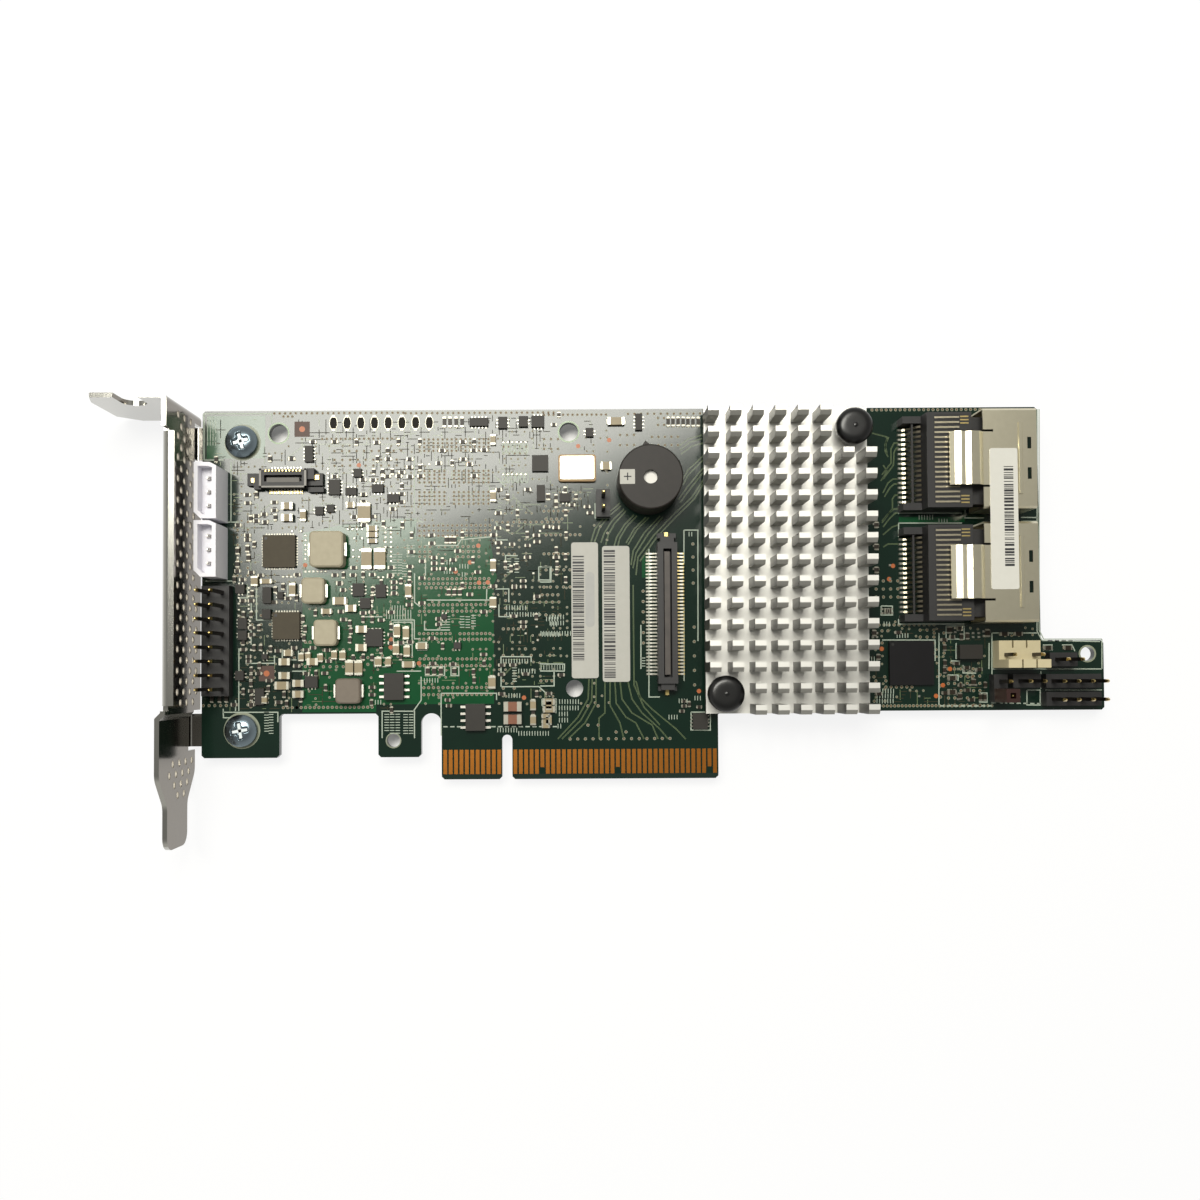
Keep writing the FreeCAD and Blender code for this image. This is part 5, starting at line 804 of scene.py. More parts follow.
# Tinned square pins, with painted light: painted highlights make the tips bright, and painted shade makes the
# shafts grey.
PIN_SILVER_PAINTED_LIGHT = painted_by_facing("pin_silver_painted_light", "Z", 0.05, 0.3, "#6e6c66", "#cfcdc4", 1.0, 0.3)
# Bare aluminium with painted light and shade: pale level tops as a painted highlight, grey slopes as painted
# shade, and darker painted shade on the walls on the left.
ALUMINIUM_PAINTED_LIGHT = painted_by_facing("aluminium_painted_light", "Z", 0.88, 0.97, "#96958f", "#e0dfda", 0.7, 0.42)
paint_shade_on_left_walls(ALUMINIUM_PAINTED_LIGHT, "#565551")
# The punched rims of the vents, with painted light: a cream white painted highlight where they turn from the
# board, and brown grey painted shade towards it.
RIM_STEEL_PAINTED_LIGHT = painted_by_facing("punched_edge_painted_light", "X", 0.25, 0.6, "#fbf6ec", "#6f695f", 0.7, 0.2)
# Bright nickel on the bracket's steel: pale tabs, and a warmer grey painted reflection of the board on the wall
# that faces it.
STEEL_PAINTED_REFLECTION = painted_by_facing("nickel_plate_painted_reflection", "X", 0.6, 0.9, "#b9b8b2", "#79736a", 1.0, 0.16)

# The look of each material slot in the record; three packages then get an epoxy of their own.
SLOT_LOOK = {
    "green_board": MASK, "gold_contacts": GOLD, "nickel_steel": STEEL_PAINTED_REFLECTION, "zinc_screws": ZINC,
    "package_substrate": SUBSTRATE, "thermal_film": FILM, "plain_aluminium": ALUMINIUM_PAINTED_LIGHT,
    "black_nylon": NYLON, "black_moulding": MOULDING, "tinned_contacts": TIN, "cage_steel": CAGE,
    "label_paper": PAPER, "white_nylon": WHITE_NYLON, "beige_nylon": BEIGE_NYLON,
    "red_brown_cap": CAP_PLASTIC, "sounder_black": SOUNDER, "ceramic_base": CERAMIC,
    "plated_lid": LID, "ferrite_tan": FERRITE, "ferrite_dark": DARK_FERRITE, "chip_epoxy": EPOXY,
    "brown_ceramic": BROWN, "tan_ceramic": TAN,
}
for row in record["subparts"]:
    looks = nodes[row["node"]].data.materials
    looks.clear()
    looks.append(SLOT_LOOK[row["material_slot"]])
nodes["flash_chip"].data.materials[0] = FLASH_EPOXY
nodes["regulator_chip_upper"].data.materials[0] = REGULATOR_EPOXY
nodes["regulator_chip_lower"].data.materials[0] = REGULATOR_EPOXY


# ---------------------------------------------------------------- board surface
# Print lies between these two levels, just above the mask.
SKIN = BOARD_TOP + 0.012
SILK_TOP = BOARD_TOP + 0.022
BOARD_LOW, BOARD_HIGH = span("circuit_board")
# The board's outline: its body, the tab at its far end, two tabs by the bracket, and the card edge.
BODY_RIGHT = 99.3
BODY_BOTTOM = 12.3
END_TAB_TOP = 24.8
LEFT_TAB_RIGHT = -42.6
SMALL_TAB = (-23.5, -16.3)
TAB_BOTTOM = 4.6
CARD_EDGE = (-11.8, 38.8)
CARD_EDGE_BOTTOM = 6
HOLE_CLEARANCE = 2.2
NOT_ON_THE_BOARD = ("circuit_board", "mounting_bracket", "edge_contacts_front", "edge_contacts_back")


def between(grids):
    """Points spread evenly over grids given by first corner, last corner and counts."""
    parts = []
    for x0, y0, x1, y1, across, up in grids:
        x, y = np.meshgrid(np.linspace(x0, x1, across), np.linspace(y0, y1, up))
        parts.append(np.column_stack([x.ravel(), y.ravel()]))
    return np.concatenate(parts)


def solids_of(name):
    """Low and high corners of each separate solid of a node.

    Points that share an edge take the lower of their two labels until nothing changes."""
    mesh = nodes[name].data
    points = np.array([nodes[name].matrix_world @ vertex.co for vertex in mesh.vertices]) * 1000
    spots, index = np.unique(np.round(points, 3), axis=0, return_inverse=True)
    edges = index.reshape(-1)[np.array([edge.vertices[:] for edge in mesh.edges])]
    label = np.arange(len(spots))
    while True:
        lower = label.copy()
        np.minimum.at(lower, edges[:, 0], label[edges[:, 1]])
        np.minimum.at(lower, edges[:, 1], label[edges[:, 0]])
        if (lower == label).all():
            break
        label = lower
    bodies = [spots[label == one] for one in np.unique(label)]
    return np.array([[body.min(0), body.max(0)] for body in bodies])


def footprints():
    """Boxes seen from above of every solid that stands on the board."""
    names = [row["node"] for row in record["subparts"] if row["node"] not in NOT_ON_THE_BOARD]
    boxes = np.concatenate([solids_of(name) for name in names])
    return boxes[boxes[:, 1, 2] > BOARD_TOP + 0.05][:, :, :2]


TAKEN = footprints()


def off_parts(points, margin=0.1):
    """True where a point lies outside every part's footprint."""
    points = np.asarray(points, float)[:, None, :2]
    inside = (points > TAKEN[None, :, 0] - margin) & (points < TAKEN[None, :, 1] + margin)
    return ~inside.all(2).any(1)


def clear_of_board_edge(points, margin=0.35):
    """Keeps the points that lie on the board, away from its edge, its cut-outs and its larger holes."""
    x, y = points[:, 0], points[:, 1]
    above = y > BODY_BOTTOM + margin
    body = (x > BOARD_LOW[0] + margin) & (x < BODY_RIGHT - margin) & above & (y < BOARD_HIGH[1] - margin)
    end_tab = (x >= BODY_RIGHT - margin) & (x < BOARD_HIGH[0] - margin) & above & (y < END_TAB_TOP)
    left_tab = (x > BOARD_LOW[0] + margin) & (x < LEFT_TAB_RIGHT) & (y > TAB_BOTTOM)
    small_tab = (x > SMALL_TAB[0]) & (x < SMALL_TAB[1]) & (y > TAB_BOTTOM)
    card_edge = (x > CARD_EDGE[0]) & (x < CARD_EDGE[1]) & (y > CARD_EDGE_BOTTOM)
    distance = np.hypot(x[:, None] - HOLES[:, 0], y[:, None] - HOLES[:, 1]).min(1)
    on_board = body | end_tab | left_tab | small_tab | card_edge
    return points[on_board & (distance > HOLE_CLEARANCE + margin)]


def strokes_along(line, start, short, pitch, longer, shorter, crossing):
    """Little bars every pitch along a line, lying along it or, where asked, crossing it."""
    (x0, y0), (x1, y1) = line
    length = math.hypot(x1 - x0, y1 - y0)
    ahead = np.array([x1 - x0, y1 - y0]) / length
    at = np.arange(0, length - short, pitch) + start
    spots = np.array([x0, y0]) + at[:, None] * ahead
    level = (abs(ahead[0]) > abs(ahead[1])) != crossing
    size = (longer, shorter) if level else (shorter, longer)
    return frustums(spots, size, SKIN, SILK_TOP)


def board_marks():
    """Printed lines, dashes and plain little bars on the board."""
    parts = [ribbon(path, 0.2, SILK_TOP) for path in SILK]
    parts += [strokes_along(line, 0.4, 0.6, 1.27, 0.8, 0.22, crossing=False) for line in DASHES]
    parts += [strokes_along(line, 0.2, 0.2, 0.5, 0.85, 0.14, crossing=True) for line in MARKS]
    piece("printed_marks", merged(parts), SILK_INK)


def board_pours():
    """Wide copper areas and routed tracks under the mask, as thin raised plates."""
    plates = [polygon_plate(corners, BOARD_TOP, BOARD_TOP + 0.006) for corners in POURS]
    piece("copper_areas", merged(plates), POUR_MASK)
    piece("tracks", ribbons(TRACES, 0.22, BOARD_TOP + 0.01), TRACK_MASK)
    # A strip of plain mask down each track's middle leaves its two pale edges as painted highlights.
    piece("track_middles", ribbons(TRACES, 0.08, BOARD_TOP + 0.014), MASK)


def board_vias():
    """Plated holes in two sizes, each a pale ring with a filled middle, solder pads and test points."""
    holes = clear_of_board_edge(between(BROWN_VIAS), 0.1)
    holes = holes[off_parts(holes)]
    fields = [(*corners, SPECKLE_GRID, SPECKLE_GRID, SPECKLE_SHARE) for corners in SPECKLED]
    fine = crowd(fields, 21, holes, 0.5)
    sizes = (("fine_via", fine, 0.24, 0.14, 0.013), ("via", holes, 0.3, 0.2, 0.014))
    for name, spots, land, fill, rise in sizes:
        piece(name + "_lands", discs(spots, land, BOARD_TOP + rise, 8), TIN_LAND)
        piece(name + "_fills", discs(spots, fill, BOARD_TOP + rise + 0.004, 6), VIA_FILL)
    pads = between(WHITE_PADS)
    pads = pads[off_parts(pads)]
    domes = frustums(pads, (0.5, 0.42), BOARD_TOP, BOARD_TOP + 0.09, 0.6)
    piece("solder_pads", domes, SOLDER)
    dots = discs(between(ORANGE_DOTS), 0.42, BOARD_TOP + 0.02, 12)
    piece("test_points", dots, TEST_POINT)


def crowd(fields, seed, keep_off, gap):
    """Seeded places on loose grids.

    Each cell of a field (x0, y0, x1, y1, step x, step y, share) may hold a place, moved a little.
    Places near the board's edge, on a part or within a gap of those in keep_off are dropped."""
    chance = np.random.default_rng(seed)
    found = []
    for x0, y0, x1, y1, step_x, step_y, share in fields:
        x, y = np.meshgrid(np.arange(x0, x1, step_x), np.arange(y0, y1, step_y))
        spots = np.column_stack([x.ravel(), y.ravel()])
        spots = spots[chance.random(len(spots)) < share]
        found.append(spots + chance.uniform(-0.12, 0.12, spots.shape))
    found = clear_of_board_edge(np.concatenate(found), 0.8)
    found = found[off_parts(found, 0.75)]
    away = np.abs(found[:, None] - np.asarray(keep_off)[None, :, :2]).max(2).min(1)
    return found[away > gap]


def fine_routing():
    """Short strokes on a fine grid: dull brown ones between the parts and paler ones under the mask."""
    chance = np.random.default_rng(31)
    looks = (("dull_strokes", 1500, BARE_STROKE, 0.13, 0.011), ("pale_strokes", 900, TRACK_MASK, 0.12, 0.008))
    for name, count, look, width, rise in looks:
        spots = []
        for x0, y0, x1, y1, share in ROUTED:
            number = int(count * share)
            across = chance.uniform(x0, x1, number)
            up = chance.uniform(y0, y1, number)
            spots.append(np.column_stack([across, up]))
        spots = np.round(np.concatenate(spots) / ROUTING_GRID) * ROUTING_GRID
        spots = clear_of_board_edge(spots, 1.6)
        spots = spots[off_parts(spots, 0.9)]
        length = chance.choice([0.7, 1.2, 1.9, 2.6], len(spots), p=[0.4, 0.3, 0.2, 0.1])
        level = (chance.random(len(spots)) < 0.5)[:, None]
        thin = np.full(len(spots), width)
        size = np.where(level, np.column_stack([length, thin]), np.column_stack([thin, length]))
        piece(name, frustums(spots, size, BOARD_TOP, BOARD_TOP + rise), look)


# ---------------------------------------------------------------- little parts
def two_ended(name, rows, height, look, end_look):
    """Little parts with a body, a cap at each end and a solder slope beyond each cap."""
    centres, sizes = rows[:, :2], rows[:, 2:]
    lying = (sizes[:, 0] >= sizes[:, 1])[:, None]
    along = np.where(lying, (1.0, 0.0), (0.0, 1.0))
    reach = (sizes * along).sum(1)
    width = (sizes * (1 - along)).sum(1)

    def at_both_ends(offset, length, depth, rise, top_scale=1.0):
        """The same block at both ends of every part, offset from its middle."""
        spots = np.concatenate([centres + side * along * offset[:, None] for side in (-1, 1)])
        size = np.where(lying, np.column_stack([length, depth]), np.column_stack([depth, length]))
        return frustums(spots, np.tile(size, (2, 1)), BOARD_TOP, BOARD_TOP + rise, top_scale)

    body_size = sizes * np.where(lying, (0.68, 1.0), (1.0, 0.68))
    caps = at_both_ends(reach * 0.42, reach * 0.16, width, height)
    slopes = at_both_ends(reach * 0.5 + 0.04, reach * 0.08 + 0.1, width * 0.9, height * 0.3, 0.7)
    piece(name, frustums(centres, body_size, BOARD_TOP, BOARD_TOP + height * 0.97), look)
    piece(name + "_ends", merged([caps, slopes]), end_look)


def small_chips():
    """Little capacitors and resistors, with more resistors on loose grids in the crowded fields."""
    tan = np.asarray(TAN_CHIPS)
    two_ended("tan_chips", tan[off_parts(tan)], 0.95, TAN, SOLDER)
    placed = np.asarray(SMALL_CHIPS)
    placed = placed[off_parts(placed)]
    crowded = crowd(CROWDED, 11, SMALL_CHIPS + TAN_CHIPS + DARK_CHIPS, 1.15)
    flat = np.random.default_rng(12).random(len(crowded)) < 0.6
    sizes = np.where(flat[:, None], CROWDED_CHIP, CROWDED_CHIP[::-1])
    rows = np.vstack([placed, np.column_stack([crowded, sizes])])
    two_ended("little_resistors", rows, 0.38, RESISTOR, CHIP_END)


def dark_chips():
    """Small dark packages with a row of leads along both long sides."""
    rows = np.asarray(DARK_CHIPS)
    rows = rows[off_parts(rows)]
    centres, sizes = rows[:, :2], rows[:, 2:]
    bodies = frustums(centres, sizes * 0.92, BOARD_TOP, BOARD_TOP + 0.8, 0.97)
    piece("little_dark_chips", bodies, EPOXY)
    leads = []
    for (x, y), (width, depth) in zip(centres, sizes):
        upright = depth >= width
        count = max(2, int(max(width, depth) / 0.75))
        offset = (np.arange(count) - (count - 1) / 2) * 0.65
        foot = (0.42, 0.24) if upright else (0.24, 0.42)
        for side in (-1, 1):
            if upright:
                spots = upright_row(x + side * (width * 0.46 + 0.16), y + offset)
            else:
                spots = level_row(x + offset, y + side * (depth * 0.46 + 0.16))
            leads.append(frustums(spots, foot, BOARD_TOP, BOARD_TOP + 0.2, 0.8))
    piece("little_dark_chip_leads", merged(leads), SOLDER)


def regulator_leads():
    """Rows of small leads round the two flat regulators."""
    reach, wide, rise = 0.35, 0.26, 0.06
    parts = []
    for name, count in (("regulator_chip_upper", 11), ("regulator_chip_lower", 9)):
        (x, y, _), (half_x, half_y, _) = centre_of(name)
        offset = np.arange(count) - (count - 1) / 2
        for side in (-1, 1):
            beside = upright_row(x + side * (half_x + reach / 2), y + offset * 2 * half_y / (count + 1))
            parts.append(frustums(beside, (reach, wide), BOARD_TOP, BOARD_TOP + rise))
            ahead = level_row(x + offset * 2 * half_x / (count + 1), y + side * (half_y + reach / 2))
            parts.append(frustums(ahead, (wide, reach), BOARD_TOP, BOARD_TOP + rise))
    piece("package_leads", merged(parts), CHIP_END)


def package_dots():
    """A moulded spot in the upper left corner of each flat package."""
    spots = []
    for name in ("regulator_chip_upper", "regulator_chip_lower", "flash_chip"):
        low, high = span(name)
        spots.append(discs([(low[0] + 0.6, high[1] - 0.6)], 0.28, high[2] + 0.01, 14))
    piece("package_dots", merged(spots), DARK_SPOT)


def capacitor_ends():
    """A plated cap on both ends of every capacitor that is a node, one hair larger than the body."""
    for name in ("brown_capacitors", "tan_capacitors", "output_capacitors"):
        boxes = solids_of(name)
        centres, sizes = boxes.mean(1), boxes[:, 1] - boxes[:, 0]
        lying = (sizes[:, 0] >= sizes[:, 1])[:, None]
        along = np.where(lying, (1.0, 0.0), (0.0, 1.0))
        reach = np.where(lying[:, 0], sizes[:, 0], sizes[:, 1])
        cap = sizes[:, :2] * np.where(lying, (0.24, 1.0), (1.0, 0.24)) + 0.06
        shift = along * (reach * 0.385)[:, None]
        parts = []
        for top in np.unique(np.round(sizes[:, 2], 2)):
            rows = np.abs(sizes[:, 2] - top) < 0.01
            ends = np.concatenate([centres[rows, :2] + side * shift[rows] for side in (-1, 1)])
            parts.append(frustums(ends, np.tile(cap[rows], (2, 1)), BOARD_TOP, BOARD_TOP + top + 0.03))
        piece(name + "_ends", merged(parts), SOLDER)


def inductor_bodies():
    """Pressed bodies with round corners and an upper edge that slopes in by its own height."""
    rim, corner = 0.25, 0.8
    for name in ("power_inductor_large", "power_inductor_upper", "power_inductor_lower", "filter_inductor"):
        low, high = span(name)
        outline = (low[0], low[1], high[0], high[1], corner)
        lower = rounded_plate(*outline, low[2], high[2] - rim)
        points, faces = rounded_plate(*outline, high[2] - rim, high[2])
        count = len(points) // 2
        middle = points[:, :2].mean(0)
        shrink = 1 - 2 * rim / (high[0] - low[0])
        points[count:, :2] = middle + (points[count:, :2] - middle) * shrink
        look, slot = (DARK_FERRITE, "ferrite_dark") if name == "filter_inductor" else (FERRITE, "ferrite_tan")
        piece(name + "_soft", merged([lower, (points, faces)]), look, (name,))


def fiducials():
    """Two bare squares with a copper dot in the middle of each."""
    squares = frustums(FIDUCIALS, (2.85, 2.85), BOARD_TOP, BOARD_TOP + 0.03)
    piece("brown_squares", squares, BARE_BROWN)
    piece("copper_dots", discs(FIDUCIALS, 0.55, BOARD_TOP + 0.035, 20), TEST_POINT)


def closed_oval(x, y, half_x, half_y, width, z):
    """A flat ring along an oval: point(u) = middle + (half_x cos u, half_y sin u)."""
    angle = np.arange(20) * 2 * math.pi / 20
    path = np.column_stack([x + half_x * np.cos(angle), y + half_y * np.sin(angle)])
    return path, ribbon(np.vstack([path, path[:1]]), width, z)


def oval_elements():
    """Eight open ovals in a row near the top edge, and two rows of small printed loops."""
    y = 66.55
    rings, middles = [], []
    for x in -32.25 + np.arange(8) * 2.56:
        path, ring = closed_oval(x, y, 0.72, 1.3, 0.09, BOARD_TOP + 0.05)
        rings.append(ring)
        for side in (-1, 1):
            rings.append(frustums([(x, y + side * 1.25)], (0.55, 0.4), BOARD_TOP, BOARD_TOP + 0.1))
        middles.append(polygon_plate(path, BOARD_TOP, BOARD_TOP + 0.03))
    piece("oval_rings", merged(rings), CHIP_END)
    piece("oval_middles", merged(middles), MASK_DARK)
    loops = [closed_oval(x, loop_y, 0.3, 0.95, 0.16, BOARD_TOP + 0.03)[1]
             for x in -0.45 + np.arange(6) * 0.85 for loop_y in (61.6, 56.1)]
    piece("oval_loops", merged(loops), SILK_INK)


def board_rings():
    """Tinned rings round the screws, plated rims on the tabs' holes and pale ones on the standoffs'."""
    heads = [centre_of(name)[0][:2] for name in CROSS_TURN]
    piece("screw_lands", discs(heads, 3.4, BOARD_TOP + 0.01, 48, 2.9), TIN_LAND)
    rims = [discs([END_TAB_HOLE], 1.62, BOARD_TOP + 0.01, 32, 1.3),
            discs([SMALL_TAB_HOLE], 1.45, BOARD_TOP + 0.01, 32, 1.25)]
    piece("hole_rims", merged(rims), TIN_LAND)
    rims = discs(STANDOFF_HOLES, 2.05, BOARD_TOP + 0.012, 36, 1.75)
    piece("mount_rims", rims, RIM_MASK)


# ---------------------------------------------------------------- labels
def sticker(node_name, name, radius, look):
    """Gives a label round corners and returns its two corners."""
    low, high = span(node_name)
    plate = rounded_plate(low[0], low[1], high[0], high[1], radius, low[2], high[2])
    piece(name, plate, look, (node_name,))
    return low, high


def bars(x0, x1, y0, y1, z, seed):
    """Plain bars of random widths across a strip, one after the other along y."""
    chance = np.random.default_rng(seed)
    widths = chance.choice([0.14, 0.26, 0.4], 400, p=[0.5, 0.32, 0.18])
    gaps = chance.choice([0.14, 0.26, 0.4], 400, p=[0.5, 0.3, 0.2])
    starts = y0 + np.cumsum(widths + gaps) - widths
    keep = starts + widths < y1
    starts, ends = starts[keep], (starts + widths)[keep]
    level = np.ones(len(starts))
    return blocks(np.column_stack([x0 * level, starts, z * level, x1 * level, ends, (z + 0.012) * level]))


def labels():
    """Three labels with plain bars of ink, and a rubbed patch on the narrow one."""
    low, high = sticker("narrow_label", "narrow_sticker", 0.5, PAPER)
    wide_low, wide_high = sticker("wide_label", "wide_sticker", 0.5, PAPER)
    port_low, port_high = sticker("port_label", "port_sticker", 0.4, PORT_PAPER)
    ink = [bars(low[0] + 0.25, low[0] + 2.35, low[1] + 3.2, high[1] - 2.0, high[2], 3),
           bars(wide_low[0] + 0.3, wide_low[0] + 2.4, wide_low[1] + 0.6, wide_high[1] - 0.4, wide_high[2], 5),
           bars(port_low[0] + 2.5, port_low[0] + 4.2, port_low[1] + 4.0, port_high[1] - 3.2, port_high[2], 9)]
    piece("sticker_bars", merged(ink), INK)
    corners = (low[0] + 2.6, low[1] + 9.5, low[0] + 4.3, high[1] - 5.5)
    piece("sticker_patch", rounded_plate(*corners, 0.8, high[2], high[2] + 0.008), PATCH)


# ---------------------------------------------------------------- bracket
VENT_PITCH = 3.3
VENT_ROW = 1.92
VENT_MIDDLE = 4.05


def vent_row(y, count, shift=0.0):
    """Middles of one row of vents, spread evenly about the plate's middle line."""
    return [(y, VENT_MIDDLE + shift + (k - (count - 1) / 2) * VENT_PITCH) for k in range(count)]


def bracket_vents():
    """Round punched rims over the plate's vents: at each, rings of radius r about a line along x."""
    plate_outer, plate_inner, joggle = -59.2, -58.34, 1
    tab_from, tab_to, tab_height = 58.0, 68.1, 1.15
    upper = []
    for row in range(28):
        upper += vent_row(66.5 - row * VENT_ROW, 3 if row % 2 else 4)
    upper = [(y, z) for y, z in upper if not (tab_from < y < tab_to and z < tab_height)]
    lower = []
    for row, count in enumerate((4, 4, 3, 2)):
        shift = VENT_PITCH / 4 * (1 if row % 2 else -1) * (count == 4)
        lower += vent_row(3.7 - row * VENT_ROW, count, shift)
    sides = 20
    angle = np.arange(sides) * 2 * math.pi / sides
    circle = np.column_stack([np.zeros(sides), np.cos(angle), np.sin(angle)])
    lands, tubes = [], []
    for places, outer, inner in ((upper, plate_outer, plate_inner),
                                 (lower, plate_outer - joggle, plate_inner - joggle)):
        inner_land = [(1.02, inner + 0.004), (0.68, inner + 0.01)]
        tube = [(0.68, inner + 0.01), (0.6, inner - 0.12), (0.6, outer + 0.05), (0.68, outer - 0.03)]
        outer_land = [(0.68, outer - 0.03), (1.02, outer - 0.004)]
        places = np.column_stack([np.zeros(len(places)), places])
        for strip, bag in ((inner_land, lands), (tube, tubes), (outer_land, lands)):
            rings = np.concatenate([circle * (1, radius, radius) + (x, 0, 0) for radius, x in strip])
            points = rings[None] + places[:, None, :]
            faces = grid_faces(len(strip), sides)[None, :, ::-1]
            faces = faces + np.arange(len(places))[:, None, None] * len(rings)
            bag.append((points.reshape(-1, 3), faces.reshape(-1, 4)))
    piece("vent_lands", merged(lands), STEEL_PAINTED_REFLECTION)
    piece("vent_rims", merged(tubes), RIM_STEEL_PAINTED_LIGHT)


# ---------------------------------------------------------------- screws and pins
SCREW_RADIUS = 2.95
CROWN_FALL = 0.95


def cross_depth(u, v, across):
    """How deep the cross is at (u, v): 1 on its two arms and its round middle, 0 away from them."""
    arms = [np.hypot(np.maximum(abs(long) - 1.45, 0), np.maximum(abs(short) - 0.32, 0))
            for long, short in ((u, v), (v, u))]
    away = np.minimum(np.minimum(*arms), np.maximum(across - 0.75, 0))
    hollow = np.clip(1 - away / 0.22, 0, 1)
    return hollow * hollow * (3 - 2 * hollow)


def round_screws():
    """Turned heads: z = top - 0.95 * (r / R)^3.2, with a smooth cross sunk 0.75 mm into the crown."""
    for name in CROSS_TURN:
        low, high = span(name)
        x, y = (low[0] + high[0]) / 2, (low[1] + high[1]) / 2
        top = high[2]
        sides, rings = 96, 40
        angle = np.arange(sides) * 2 * math.pi / sides + math.pi / sides
        radius = np.linspace(0, 1, rings) ** 0.8 * SCREW_RADIUS
        across, around = np.meshgrid(radius, angle, indexing="ij")
        u, v = across * np.cos(around), across * np.sin(around)
        turn = math.radians(CROSS_TURN[name])
        along_u = u * math.cos(turn) + v * math.sin(turn)
        along_v = -u * math.sin(turn) + v * math.cos(turn)
        crown = top - CROWN_FALL * (across / SCREW_RADIUS) ** 3.2
        height = crown - 0.75 * cross_depth(along_u, along_v, across)
        points = np.stack([x + u, y + v, height], -1).reshape(-1, 3)
        faces = grid_faces(rings, sides).tolist()
        skirt = turned((x, y), [(SCREW_RADIUS, BOARD_TOP), (SCREW_RADIUS, top - CROWN_FALL)], sides)
        shank = turned((x, y), [(1.3, low[2]), (1.45, low[2] + 0.3), (1.45, BOARD_TOP)], 24)
        arms = []
        for spin in (turn, turn + math.pi / 2):
            ahead = np.array([math.cos(spin), math.sin(spin)]) * 1.4
            aside = np.array([-math.sin(spin), math.cos(spin)]) * 0.27
            corners = [(x, y) + ahead * a + aside * b for a, b in ((-1, -1), (1, -1), (1, 1), (-1, 1))]
            arms.append(polygon_plate(corners, top - 0.72, top - 0.6))
        piece(name + "_cross", merged(arms), CROSS_FLOOR)
        head = merged([(points, faces), skirt, shank])
        piece(name + "_turned", head, ZINC, (name,), smooth=True)


def pin_places(name):
    """Centres of the pins of a node: points less than 0.7 mm apart belong to one pin."""
    left = np.array([(nodes[name].matrix_world @ vertex.co)[:2] for vertex in nodes[name].data.vertices]) * 1000
    centres = []
    while len(left):
        near = np.abs(left - left[0]).max(1) < 0.7
        centres.append((left[near].min(0) + left[near].max(0)) / 2)
        left = left[~near]
    return np.array(centres)


def pointed_pins():
    """Square pins whose tips are cut to blunt pyramids, with a solder cone under the board."""
    side, tail = 0.64, 0.5
    cone = [(0.75, BOARD_BACK), (0.7, BOARD_BACK - 0.1), (0.33, BOARD_BACK - 0.65)]
    for name, tip, look in (("debug_header_pins", 0.9, PIN_GOLD_PAINTED_LIGHT), ("header_pins", 0.9, PIN_GOLD_PAINTED_LIGHT),
                            ("lock_header_pins", 0.9, PIN_GOLD_PAINTED_LIGHT), ("fan_header_upper_pins", 0.7, PIN_SILVER_PAINTED_LIGHT),
                            ("fan_header_lower_pins", 0.7, PIN_SILVER_PAINTED_LIGHT)):
        low, high = span(name)
        centres = pin_places(name)
        shafts = frustums(centres, side, low[2] + tail, high[2] - tip)
        tips = frustums(centres, side, high[2] - tip, high[2], 0.35)
        tails = frustums(centres, 0.4, low[2], low[2] + tail, 1.6)
        piece(name + "_pointed", merged([shafts, tips, tails]), look, (name,))
        joints = [turned(centre, cone, 10) for centre in centres]
        piece(name + "_joints", merged(joints), SOLDER)


def push_pins():
    """Moulded push pins: above a straight rim, the smooth dome is z = top - 0.7 * (r / R)^7."""
    for name in ("push_pin_upper", "push_pin_lower"):
        low, high = span(name)
        x, y = (low[0] + high[0]) / 2, (low[1] + high[1]) / 2
        top = high[2]
        share = np.linspace(1, 0.02, 14)
        dome = np.column_stack([3.25 * share, top - 0.7 * share ** 7])
        stem = [(0.9, low[2]), (1.85, low[2] + 1.4), (1.85, BOARD_BACK), (1.5, BOARD_BACK),
                (1.5, top - 2.5), (3.1, top - 2.5), (3.25, top - 2.3)]
        head = turned((x, y), np.vstack([stem, dome]), 64)
        nub = turned((x, y), [(0.5, top - 0.05), (0.42, top + 0.03), (0.05, top + 0.05)], 24)
        piece(name + "_domed", merged([head, nub]), NYLON, (name,), smooth=True)


# ---------------------------------------------------------------- heatsink
def fin_section(depth, base_top, top):
    """Side view of one fin pin: level at the back, then falling as z = top - 0.55 * u^1.15 to the front."""
    share = np.array([-0.5, -0.4, -0.3, -0.2, -0.1, -0.04, 0.1, 0.3, 0.5])
    fall = 0.55 * np.clip((-0.04 - share) / 0.46, 0, 1) ** 1.15
    slope = np.column_stack([share * depth, top - fall])
    return np.vstack([[(-depth / 2, base_top - 0.1)], slope, [(depth / 2, base_top - 0.1)]])


